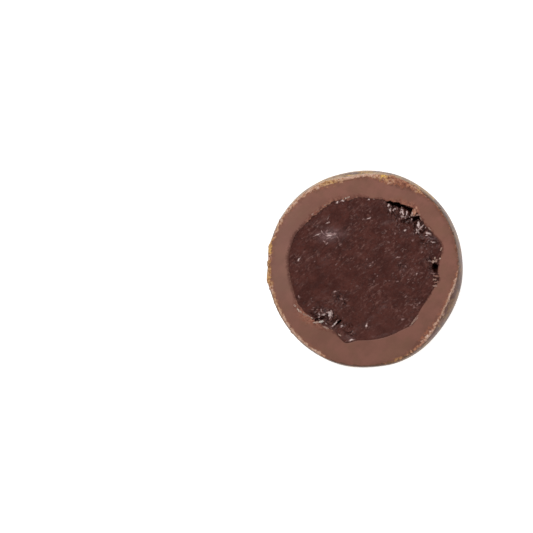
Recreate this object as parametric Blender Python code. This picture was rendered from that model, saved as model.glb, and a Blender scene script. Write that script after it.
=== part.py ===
"""A round filled chocolate, cut through above its middle and lying with the cut face up.

Two pieces, both solid: a thick milk chocolate shell, whose outside is gilded, and the dark
ganache that fills it. Units are metres, +Z is up, and the origin is the middle of the small flat
that the shell rests on. Azimuths run from +X towards +Y, elevations up from the ball's middle.
"""

import math
import random

import bmesh
import bpy
from mathutils import Matrix, Vector, noise

MM = 0.001

# Driving dimensions
BALL_RADIUS = 14.0 * MM
REST_FLAT_RADIUS = 3.0 * MM
CUT_ABOVE_MIDDLE = 3.4 * MM
CAVITY_RADIUS = 10.85 * MM
CAVITY_OFFSET = Vector((0.25, 0.15, 0.0)) * MM
FILLING_GAP = 0.30 * MM  # clearance between the filling and the shell
FILLING_BELOW_CUT = 0.16 * MM

BALL_MIDDLE = Vector((0.0, 0.0, math.sqrt(BALL_RADIUS**2 - REST_FLAT_RADIUS**2)))
CUT_HEIGHT = BALL_MIDDLE.z + CUT_ABOVE_MIDDLE
CAVITY_MIDDLE = BALL_MIDDLE + CAVITY_OFFSET

# Swells and dents, each (azimuth, elevation, half width in degrees, height)
BALL_LUMPS = (
    (336, 24, 17, -0.86 * MM),
    (97, 20, 18, -0.60 * MM),
    (125, 0, 42, -0.18 * MM),
    (40, 16, 24, 0.14 * MM),
    (262, 14, 28, 0.34 * MM),
    (290, 14, 12, 0.26 * MM),
    (303, 2, 18, 0.24 * MM),
    (212, 8, 34, -0.14 * MM),
    (345, 4, 16, 0.14 * MM),
    (178, 4, 26, -0.20 * MM),
    (187, 12, 6, 0.28 * MM),
    (168, 12, 5, 0.20 * MM),
    (20, -48, 30, 0.16 * MM),
    (190, -42, 34, -0.20 * MM),
    (108, -52, 26, 0.14 * MM),
    (285, -46, 28, -0.16 * MM),
)
CAVITY_LUMPS = (
    (16, 17, 10, 0.94 * MM),
    (48, 17, 9, 0.44 * MM),
    (84, 17, 18, -0.60 * MM),
    (104, 17, 7, -0.46 * MM),
    (127, 17, 8, -0.28 * MM),
    (142, 17, 8, -0.34 * MM),
    (165, 17, 26, 0.40 * MM),
    (211, 17, 9, 0.36 * MM),
    (242, 17, 9, -0.38 * MM),
    (256, 17, 6, 0.72 * MM),
    (311, 17, 6, 0.32 * MM),
    (327, 17, 13, -0.40 * MM),
    (350, 17, 4, 0.50 * MM),
    (60, -35, 30, -0.30 * MM),
    (200, -50, 34, 0.30 * MM),
    (310, -30, 26, -0.24 * MM),
)

# Mesh resolution
BALL_SEGMENTS, BALL_RINGS = 76, 24
CAVITY_SEGMENTS, CAVITY_RINGS = 90, 19
RELIEF_CELL = 0.52 * MM

# The filling's cut surface: soft undulation, knife drag, and single hollows and swells
UNDULATION_WAVE, UNDULATION_HEIGHT, UNDULATION_PLACE = 2.4 * MM, 0.16 * MM, Vector((3.1, 7.7, 0.4))
DRAG_DIRECTION = math.radians(48)
DRAG_LENGTH, DRAG_WIDTH, DRAG_HEIGHT, DRAG_PLACE = 5.0 * MM, 1.1 * MM, 0.08 * MM, 5.3
SURFACE_SPOTS = (  # (x, y, radius, height)
    (-3.4 * MM, -4.2 * MM, 0.75 * MM, -0.42 * MM),
    (-2.5 * MM, -5.0 * MM, 0.50 * MM, -0.30 * MM),
    (5.5 * MM, 0.4 * MM, 0.60 * MM, -0.36 * MM),
    (-4.8 * MM, 4.7 * MM, 1.70 * MM, 0.22 * MM),
)
# Where the filling is torn instead of cut: (x, y, radius), and the coarse crags there
TORN_PLACES = (
    (4.6 * MM, 8.3 * MM, 1.3 * MM),
    (6.3 * MM, 7.2 * MM, 1.5 * MM),
    (8.0 * MM, 5.6 * MM, 1.2 * MM),
    (9.2 * MM, 4.0 * MM, 1.2 * MM),
    (9.6 * MM, 0.6 * MM, 1.0 * MM),
    (-6.2 * MM, -6.7 * MM, 1.3 * MM),
    (-4.5 * MM, -7.0 * MM, 1.2 * MM),
    (-2.0 * MM, -8.6 * MM, 0.9 * MM),
)
TORN_WAVE, TORN_HEIGHT, TORN_PLACE = 1.1 * MM, 1.10 * MM, Vector((8.2, 1.9, 6.6))
TORN_DROP = 0.30 * MM
RELIEF_TOP = 0.10 * MM  # the relief stands at most this far above the cut

# Air gaps where the filling has come away: (x, y, depth below the cut, length, width, height, turn)
AIR_GAPS = (
    (4.7 * MM, 9.15 * MM, 0.3 * MM, 3.6 * MM, 1.00 * MM, 3.6 * MM, -24),
    (7.1 * MM, 7.75 * MM, 0.3 * MM, 2.7 * MM, 1.60 * MM, 3.0 * MM, -42),
    (7.6 * MM, 6.65 * MM, 0.2 * MM, 1.4 * MM, 0.60 * MM, 1.8 * MM, -25),
    (10.15 * MM, 0.15 * MM, 0.2 * MM, 1.3 * MM, 1.20 * MM, 3.0 * MM, -70),
    (-6.3 * MM, -7.45 * MM, 0.2 * MM, 1.9 * MM, 0.60 * MM, 2.2 * MM, -12),
    (-3.5 * MM, -7.75 * MM, 0.2 * MM, 1.3 * MM, 0.50 * MM, 1.8 * MM, -35),
)

# Torn crags standing on the filling: (x, y, length, width, height, turn)
CRAGS = (
    (3.9 * MM, 8.0 * MM, 1.4 * MM, 0.70 * MM, 0.80 * MM, -70),
    (5.4 * MM, 7.8 * MM, 1.6 * MM, 0.90 * MM, 0.95 * MM, 60),
    (6.3 * MM, 6.5 * MM, 1.5 * MM, 0.75 * MM, 0.90 * MM, 20),
    (4.8 * MM, 6.5 * MM, 1.1 * MM, 0.60 * MM, 0.65 * MM, 75),
    (8.0 * MM, 5.7 * MM, 1.6 * MM, 0.80 * MM, 0.90 * MM, -45),
    (8.7 * MM, 4.3 * MM, 1.6 * MM, 0.90 * MM, 0.80 * MM, -20),
    (9.2 * MM, 1.4 * MM, 1.1 * MM, 0.70 * MM, 0.70 * MM, 10),
    (9.3 * MM, -1.3 * MM, 0.9 * MM, 0.50 * MM, 0.50 * MM, 30),
    (-6.5 * MM, -6.2 * MM, 1.3 * MM, 0.65 * MM, 0.70 * MM, 30),
    (-5.1 * MM, -6.2 * MM, 1.6 * MM, 0.80 * MM, 0.90 * MM, 15),
    (-4.4 * MM, -7.3 * MM, 1.4 * MM, 0.55 * MM, 0.80 * MM, 50),
    (-2.8 * MM, -8.0 * MM, 0.9 * MM, 0.60 * MM, 0.60 * MM, 5),
    (-1.3 * MM, -9.1 * MM, 1.1 * MM, 0.55 * MM, 0.50 * MM, 25),
)
CRAG_TILT = 12
CRAG_SINK = 0.2  # how deep a crag's middle is sunk, as a share of its height
CRAG_RAGGEDNESS, FLAKE_RAGGEDNESS = 0.28, 0.18  # how far corners stray, as a share of the size

# The crumbled edge of the cut: arcs of azimuth and how many flakes lie along each
EDGE_ARCS = ((50, 120, 17), (140, 160, 3), (163, 194, 7), (200, 245, 7), (303, 352, 10), (0, 44, 5))
FLAKE_LENGTH = (0.65 * MM, 1.30 * MM)
FLAKE_WIDTH = (0.32 * MM, 0.52 * MM)
FLAKE_THICKNESS = (0.24 * MM, 0.42 * MM)
FLAKE_INSET = (-0.02 * MM, 0.24 * MM)  # from the edge of the cut to a flake's middle
FLAKE_SINK = 0.1  # how deep a flake's middle is sunk, as a share of its thickness
FLAKE_TURN, FLAKE_TILT = 16, 8  # how far a flake may turn from the edge's direction, and tilt
FLAKE_STRAY = (0.2, 0.8)  # where a flake may lie in its share of the arc
FLAKE_SEED = 12

# A splinter of the shell that leans over the largest air gap: (x, y, length, width, height, turn)
SPLINTER = (7.45 * MM, 8.10 * MM, 1.6 * MM, 0.70 * MM, 0.65 * MM, 62)
SPLINTER_SINK, SPLINTER_TILT = 0.25, 10

CUTTER_MARGIN = 2.0 * MM
EDGE_ELEVATIONS, EDGE_HALVINGS = (0.0, 60.0), 40  # where the edge of the cut is searched for
SHARP_ANGLE = math.radians(35)  # edges sharper than this are shaded crisp


def unit(azimuth, elevation):
    """The direction at an azimuth and an elevation in degrees."""
    around, up = math.radians(azimuth), math.radians(elevation)
    return Vector((math.cos(around) * math.cos(up), math.sin(around) * math.cos(up), math.sin(up)))


def lumpy_radius(direction, mean, lumps):
    """The radius of an uneven ball towards a direction."""
    radius = mean
    for azimuth, elevation, width, height in lumps:
        away = math.degrees(direction.angle(unit(azimuth, elevation)))
        radius += height * math.exp(-((away / width) ** 2))
    return radius


def surface_height(x, y):
    """The height of the filling's cut surface above the cut plane."""
    point = Vector((x, y, 0.0))
    height = UNDULATION_HEIGHT * noise.noise(point / UNDULATION_WAVE + UNDULATION_PLACE)
    along = x * math.cos(DRAG_DIRECTION) + y * math.sin(DRAG_DIRECTION)
    across = y * math.cos(DRAG_DIRECTION) - x * math.sin(DRAG_DIRECTION)
    height += DRAG_HEIGHT * noise.noise(Vector((along / DRAG_LENGTH, across / DRAG_WIDTH, DRAG_PLACE)))
    for spot_x, spot_y, radius, spot_height in SURFACE_SPOTS:
        height += spot_height * math.exp(-((x - spot_x) ** 2 + (y - spot_y) ** 2) / radius**2)
    torn = 0.0
    for torn_x, torn_y, radius in TORN_PLACES:
        torn = max(torn, math.exp(-((x - torn_x) ** 2 + (y - torn_y) ** 2) / radius**2))
    height += torn * (TORN_HEIGHT * noise.noise(point / TORN_WAVE + TORN_PLACE) - TORN_DROP)
    return min(height - FILLING_BELOW_CUT, RELIEF_TOP)


def clear_scene():
    for obj in list(bpy.data.objects):
        bpy.data.objects.remove(obj, do_unlink=True)


def new_collection(name, parent=None):
    collection = bpy.data.collections.new(name)
    (parent or bpy.context.scene.collection).children.link(collection)
    return collection


def add_object(name, bm, collection):
    mesh = bpy.data.meshes.new(name)
    bm.to_mesh(mesh)
    bm.free()
    obj = bpy.data.objects.new(name, mesh)
    collection.objects.link(obj)
    return obj


def make_cutter(obj):
    obj.hide_render = True
    obj.display_type = "WIRE"
    return obj


def lumpy_ball(name, middle, mean, lumps, segments, rings, collection):
    """A closed ball with swells and dents."""
    bm = bmesh.new()
    bmesh.ops.create_uvsphere(bm, u_segments=segments, v_segments=rings, radius=1.0)
    for vert in bm.verts:
        direction = vert.co.normalized()
        vert.co = middle + direction * lumpy_radius(direction, mean, lumps)
    return add_object(name, bm, collection)


def block(name, low, high, collection):
    """A box between two corners."""
    bm = bmesh.new()
    size = high - low
    placed = Matrix.Translation((low + high) / 2) @ Matrix.Diagonal((*size, 1.0))
    bmesh.ops.create_cube(bm, size=1.0, matrix=placed)
    return add_object(name, bm, collection)


def lump(name, place, size, turn, collection, tilt, subdivisions, raggedness=0.0, draw=None):
    """A small faceted lump of a given length, width and height, tilted and turned about Z."""
    bm = bmesh.new()
    bmesh.ops.create_icosphere(bm, subdivisions=subdivisions, radius=0.5)
    if draw:
        for vert in bm.verts:
            vert.co *= 1 + draw.uniform(-raggedness, raggedness)
    turned = Matrix.Rotation(math.radians(turn), 4, "Z") @ Matrix.Rotation(math.radians(tilt), 4, "Y")
    bm.transform(Matrix.Translation(place) @ turned @ Matrix.Diagonal((*size, 1.0)))
    return add_object(name, bm, collection)


def knife_block(collection):
    """All that the straight cut takes off the ball."""
    reach = BALL_RADIUS + CUTTER_MARGIN
    low = Vector((-reach, -reach, CUT_HEIGHT))
    high = Vector((reach, reach, BALL_MIDDLE.z + reach))
    return make_cutter(block("knife_cut", low, high, collection))


def table_block(collection):
    """All that the resting flat takes off the ball."""
    reach = BALL_RADIUS + CUTTER_MARGIN
    low = Vector((-reach, -reach, -reach))
    high = Vector((reach, reach, 0.0))
    return make_cutter(block("rest_cut", low, high, collection))


def torn_block(collection):
    """What is cut off the filling: a block whose underside is the filling's uneven surface."""
    reach = CAVITY_RADIUS + CUTTER_MARGIN
    cells = round(2 * reach / RELIEF_CELL)
    bm = bmesh.new()
    bmesh.ops.create_grid(bm, x_segments=cells, y_segments=cells, size=reach)
    for vert in bm.verts:
        vert.co.z = CUT_HEIGHT + surface_height(vert.co.x, vert.co.y)
    lid = bmesh.ops.extrude_face_region(bm, geom=bm.faces[:])
    for item in lid["geom"]:
        if isinstance(item, bmesh.types.BMVert):
            item.co.z = CUT_HEIGHT + reach
    bmesh.ops.recalc_face_normals(bm, faces=bm.faces[:])
    return make_cutter(add_object("torn_cut", bm, collection))


def air_gap_cutters(collection):
    """One cutter for each place where the filling has come away."""
    for number, (x, y, below, length, width, height, turn) in enumerate(AIR_GAPS, 1):
        place = Vector((x, y, CUT_HEIGHT - below))
        gap = lump(f"air_gap_{number}", place, (length, width, height), turn, collection, 0, 2)
        make_cutter(gap)


def add_crags(collection):
    """Torn lumps half sunk in the filling's surface."""
    draw = random.Random(FLAKE_SEED)
    for number, (x, y, length, width, height, turn) in enumerate(CRAGS, 1):
        place = Vector((x, y, CUT_HEIGHT + surface_height(x, y) - CRAG_SINK * height))
        size = (length, width, height)
        name = f"crag_{number}"
        lump(name, place, size, turn, collection, CRAG_TILT, 1, CRAG_RAGGEDNESS, draw)


def add_edge_flakes(collection):
    """Flakes of the gilded skin crushed along the edge of the cut, and one splinter inside."""
    draw = random.Random(FLAKE_SEED)
    for start, end, count in EDGE_ARCS:
        for step in range(count):
            azimuth = start + (end - start) * (step + draw.uniform(*FLAKE_STRAY)) / count
            edge = cut_edge_point(azimuth)
            inward = Vector((-edge.x, -edge.y, 0)).normalized() * draw.uniform(*FLAKE_INSET)
            size = tuple(draw.uniform(*span) for span in (FLAKE_LENGTH, FLAKE_WIDTH, FLAKE_THICKNESS))
            place = edge + inward - Vector((0, 0, FLAKE_SINK * size[2]))
            turn = azimuth + 90 + draw.uniform(-FLAKE_TURN, FLAKE_TURN)
            tilt = draw.uniform(-FLAKE_TILT, FLAKE_TILT)
            name = f"flake_{start}_{step}"
            lump(name, place, size, turn, collection, tilt, 1, FLAKE_RAGGEDNESS, draw)
    x, y, *size, turn = SPLINTER
    place = Vector((x, y, CUT_HEIGHT - SPLINTER_SINK * size[2]))
    lump("splinter", place, size, turn, collection, SPLINTER_TILT, 1, FLAKE_RAGGEDNESS, draw)


def cut_edge_point(azimuth):
    """Where the uneven ball meets the cut plane at an azimuth, by halving the elevation's range."""
    low, high = EDGE_ELEVATIONS
    for _ in range(EDGE_HALVINGS):
        elevation = (low + high) / 2
        direction = unit(azimuth, elevation)
        point = BALL_MIDDLE + direction * lumpy_radius(direction, BALL_RADIUS, BALL_LUMPS)
        if point.z < CUT_HEIGHT:
            low = elevation
        else:
            high = elevation
    return point


def boolean(obj, operation, target):
    """Adds an exact Boolean with an object, or with all objects in a collection."""
    modifier = obj.modifiers.new(f"{operation.lower()} {target.name}", "BOOLEAN")
    modifier.operation = operation
    modifier.solver = "EXACT"
    if isinstance(target, bpy.types.Collection):
        modifier.operand_type = "COLLECTION"
        modifier.collection = target
    else:
        modifier.object = target


def apply_modifiers(obj):
    """Makes the evaluated shape the object's own mesh."""
    bpy.context.view_layer.update()
    evaluated = obj.evaluated_get(bpy.context.evaluated_depsgraph_get())
    mesh = bpy.data.meshes.new_from_object(evaluated)
    obj.modifiers.clear()
    obj.data = mesh


def fuse(obj, collection):
    """Joins everything in a collection to the object by one union, then removes the collection."""
    boolean(obj, "UNION", collection)
    apply_modifiers(obj)
    for piece in list(collection.objects):
        bpy.data.objects.remove(piece, do_unlink=True)
    bpy.data.collections.remove(collection)


def material(name, colour, roughness):
    made = bpy.data.materials.new(name)
    made.use_nodes = True
    shader = made.node_tree.nodes["Principled BSDF"]
    shader.inputs["Base Color"].default_value = (*colour, 1.0)
    shader.inputs["Roughness"].default_value = roughness
    shader.inputs["Metallic"].default_value = 0.0
    made.diffuse_color = (*colour, 1.0)
    return made


def finish(obj, made):
    """Gives the object its material, and smooth shading with crisp edges at the cut."""
    obj.data.materials.clear()
    obj.data.materials.append(made)
    obj.data.shade_smooth()
    obj.data.set_sharp_from_angle(angle=SHARP_ANGLE)


def build_shell(parts, cutters):
    """The chocolate shell: the ball, hollowed, cut and set on its flat, with its crumbled edge."""
    shell = lumpy_ball(
        "chocolate_shell", BALL_MIDDLE, BALL_RADIUS, BALL_LUMPS, BALL_SEGMENTS, BALL_RINGS, parts
    )
    cavity = lumpy_ball(
        "cavity", CAVITY_MIDDLE, CAVITY_RADIUS, CAVITY_LUMPS, CAVITY_SEGMENTS, CAVITY_RINGS, cutters
    )
    boolean(shell, "DIFFERENCE", make_cutter(cavity))
    boolean(shell, "DIFFERENCE", knife_block(cutters))
    boolean(shell, "DIFFERENCE", table_block(cutters))
    apply_modifiers(shell)
    flakes = new_collection("edge_flakes")
    add_edge_flakes(flakes)
    fuse(shell, flakes)
    finish(shell, material("milk_chocolate", (0.21, 0.098, 0.070), 0.42))


def build_filling(parts, cutters):
    """The ganache: it fills the cavity with a small clearance, under a torn cut surface."""
    radius = CAVITY_RADIUS - FILLING_GAP
    filling = lumpy_ball(
        "ganache_filling", CAVITY_MIDDLE, radius, CAVITY_LUMPS, CAVITY_SEGMENTS, CAVITY_RINGS, parts
    )
    boolean(filling, "DIFFERENCE", torn_block(cutters))
    apply_modifiers(filling)
    crags = new_collection("crags")
    add_crags(crags)
    fuse(filling, crags)
    air_gaps = new_collection("air_gap_cutters", cutters)
    air_gap_cutters(air_gaps)
    boolean(filling, "DIFFERENCE", air_gaps)
    apply_modifiers(filling)
    finish(filling, material("dark_ganache", (0.072, 0.027, 0.021), 0.28))


def main():
    clear_scene()
    parts = new_collection("filled_chocolate")
    cutters = new_collection("cutters")
    build_shell(parts, cutters)
    build_filling(parts, cutters)


main()
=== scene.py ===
"""Looks of the halved filled chocolate: its fine meshes, crumbs, materials, light and camera.

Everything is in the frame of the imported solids. Lengths are in millimetres until a mesh is made.
The sizes under "Form" are those of the part's source, so each fine mesh keeps its solid's form.
"""

import math
import random

import bmesh
import bpy
import numpy as np
from mathutils import Matrix, Vector, noise


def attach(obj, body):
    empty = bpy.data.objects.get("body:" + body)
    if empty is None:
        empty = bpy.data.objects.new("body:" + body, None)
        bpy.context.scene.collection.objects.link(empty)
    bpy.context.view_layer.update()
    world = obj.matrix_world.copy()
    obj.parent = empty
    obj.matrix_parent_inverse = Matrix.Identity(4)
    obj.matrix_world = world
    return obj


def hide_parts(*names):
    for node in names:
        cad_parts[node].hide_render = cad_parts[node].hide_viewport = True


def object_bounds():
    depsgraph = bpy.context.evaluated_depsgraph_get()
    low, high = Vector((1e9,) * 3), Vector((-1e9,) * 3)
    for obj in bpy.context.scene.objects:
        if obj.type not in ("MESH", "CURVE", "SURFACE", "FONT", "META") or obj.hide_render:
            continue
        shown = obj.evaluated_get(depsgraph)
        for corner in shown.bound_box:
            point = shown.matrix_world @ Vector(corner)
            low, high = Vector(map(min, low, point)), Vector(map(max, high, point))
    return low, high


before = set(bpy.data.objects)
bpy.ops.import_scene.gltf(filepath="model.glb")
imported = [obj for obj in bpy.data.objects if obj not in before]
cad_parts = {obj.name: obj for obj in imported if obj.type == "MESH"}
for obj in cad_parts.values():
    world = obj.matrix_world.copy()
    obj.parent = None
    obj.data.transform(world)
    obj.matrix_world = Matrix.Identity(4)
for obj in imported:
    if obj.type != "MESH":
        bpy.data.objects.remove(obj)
cad_low, cad_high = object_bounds()

MM = 0.001

# Form: the ball, its cavity and their swells and dents (azimuth, elevation, half width, height)
BALL_RADIUS, REST_FLAT_RADIUS, CUT_ABOVE_MIDDLE, CAVITY_RADIUS = 14.0, 3.0, 3.4, 10.85
BALL_MIDDLE = np.array((0.0, 0.0, math.sqrt(BALL_RADIUS**2 - REST_FLAT_RADIUS**2)))
CUT_HEIGHT = BALL_MIDDLE[2] + CUT_ABOVE_MIDDLE
CAVITY_MIDDLE = BALL_MIDDLE + (0.25, 0.15, 0.0)
BALL_LUMPS = (
    (336, 24, 17, -0.86), (97, 20, 18, -0.6), (125, 0, 42, -0.18), (40, 16, 24, 0.14), (262, 14, 28, 0.34),
    (290, 14, 12, 0.26), (303, 2, 18, 0.24), (212, 8, 34, -0.14), (345, 4, 16, 0.14), (178, 4, 26, -0.2),
    (187, 12, 6, 0.28), (168, 12, 5, 0.2), (20, -48, 30, 0.16), (190, -42, 34, -0.2), (108, -52, 26, 0.14),
    (285, -46, 28, -0.16),
)
CAVITY_LUMPS = (
    (16, 17, 10, 0.94), (48, 17, 9, 0.44), (84, 17, 18, -0.6), (104, 17, 7, -0.46), (127, 17, 8, -0.28),
    (142, 17, 8, -0.34), (165, 17, 26, 0.4), (211, 17, 9, 0.36), (242, 17, 9, -0.38), (256, 17, 6, 0.72),
    (311, 17, 6, 0.32), (327, 17, 13, -0.4), (350, 17, 4, 0.5), (60, -35, 30, -0.3), (200, -50, 34, 0.3),
    (310, -30, 26, -0.24),
)

# Form: the filling's cut surface
FILLING_BELOW_CUT, RELIEF_TOP = 0.16, 0.1
UNDULATION_WAVE, UNDULATION_HEIGHT, UNDULATION_PLACE = 2.4, 0.16, (3.1, 7.7, 0.4)
DRAG_TURN, DRAG_LENGTH, DRAG_WIDTH, DRAG_HEIGHT, DRAG_PLACE = 48, 5.0, 1.1, 0.08, 5.3
SURFACE_SPOTS = (  # (x, y, radius, height)
    (-3.4, -4.2, 0.75, -0.42), (-2.5, -5, 0.5, -0.3), (5.5, 0.4, 0.6, -0.36), (-4.8, 4.7, 1.7, 0.22),
)
TORN_PLACES = (  # (x, y, radius)
    (4.6, 8.3, 1.3), (6.3, 7.2, 1.5), (8, 5.6, 1.2), (9.2, 4, 1.2), (9.6, 0.6, 1), (-6.2, -6.7, 1.3),
    (-4.5, -7, 1.2), (-2, -8.6, 0.9),
)
TORN_WAVE, TORN_HEIGHT, TORN_DROP, TORN_PLACE = 1.1, 1.1, 0.3, (8.2, 1.9, 6.6)
CRAGS = (  # (x, y, length, width, height, turn)
    (3.9, 8, 1.4, 0.7, 0.8, -70), (5.4, 7.8, 1.6, 0.9, 0.95, 60), (6.3, 6.5, 1.5, 0.75, 0.9, 20),
    (4.8, 6.5, 1.1, 0.6, 0.65, 75), (8, 5.7, 1.6, 0.8, 0.9, -45), (8.7, 4.3, 1.6, 0.9, 0.8, -20),
    (9.2, 1.4, 1.1, 0.7, 0.7, 10), (9.3, -1.3, 0.9, 0.5, 0.5, 30), (-6.5, -6.2, 1.3, 0.65, 0.7, 30),
    (-5.1, -6.2, 1.6, 0.8, 0.9, 15), (-4.4, -7.3, 1.4, 0.55, 0.8, 50), (-2.8, -8, 0.9, 0.6, 0.6, 5),
    (-1.3, -9.1, 1.1, 0.55, 0.5, 25),
)
CRAG_TILT, CRAG_SINK, CRAG_RAGGEDNESS, FLAKE_RAGGEDNESS = 12, 0.2, 0.28, 0.18

# Form: the crumbled edge of the cut, as arcs of azimuth and how many flakes lie along each
EDGE_ARCS = ((50, 120, 17), (140, 160, 3), (163, 194, 7), (200, 245, 7), (303, 352, 10), (0, 44, 5))
FLAKE_LENGTH, FLAKE_WIDTH, FLAKE_THICKNESS = (0.65, 1.3), (0.32, 0.52), (0.24, 0.42)
FLAKE_INSET, FLAKE_SINK, FLAKE_TURN, FLAKE_TILT, FLAKE_STRAY = (-0.02, 0.24), 0.1, 16, 8, (0.2, 0.8)
FLAKE_SEED = 12
SPLINTER, SPLINTER_SINK, SPLINTER_TILT = (7.45, 8.1, 1.6, 0.7, 0.65, 62), 0.25, 10

# Detail: where the filling has come away, each (x, y, length, width, depth, turn)
AIR_GAPS = (
    (4.85, 9.02, 3.5, 0.92, 2.4, -22), (6.75, 8.1, 1.5, 0.5, 1.8, -34), (7.48, 6.92, 1.35, 0.76, 1.6, -10),
    (8.05, 7.25, 0.6, 0.4, 1.5, 10), (10.25, 0.08, 1.5, 0.95, 2, -70), (-6.2, -7.24, 1.9, 0.15, 1.2, 15),
    (-3.49, -7.68, 1.35, 0.36, 1.4, 28), (-2.8, -8.15, 0.5, 0.3, 1, 60),
)
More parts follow.
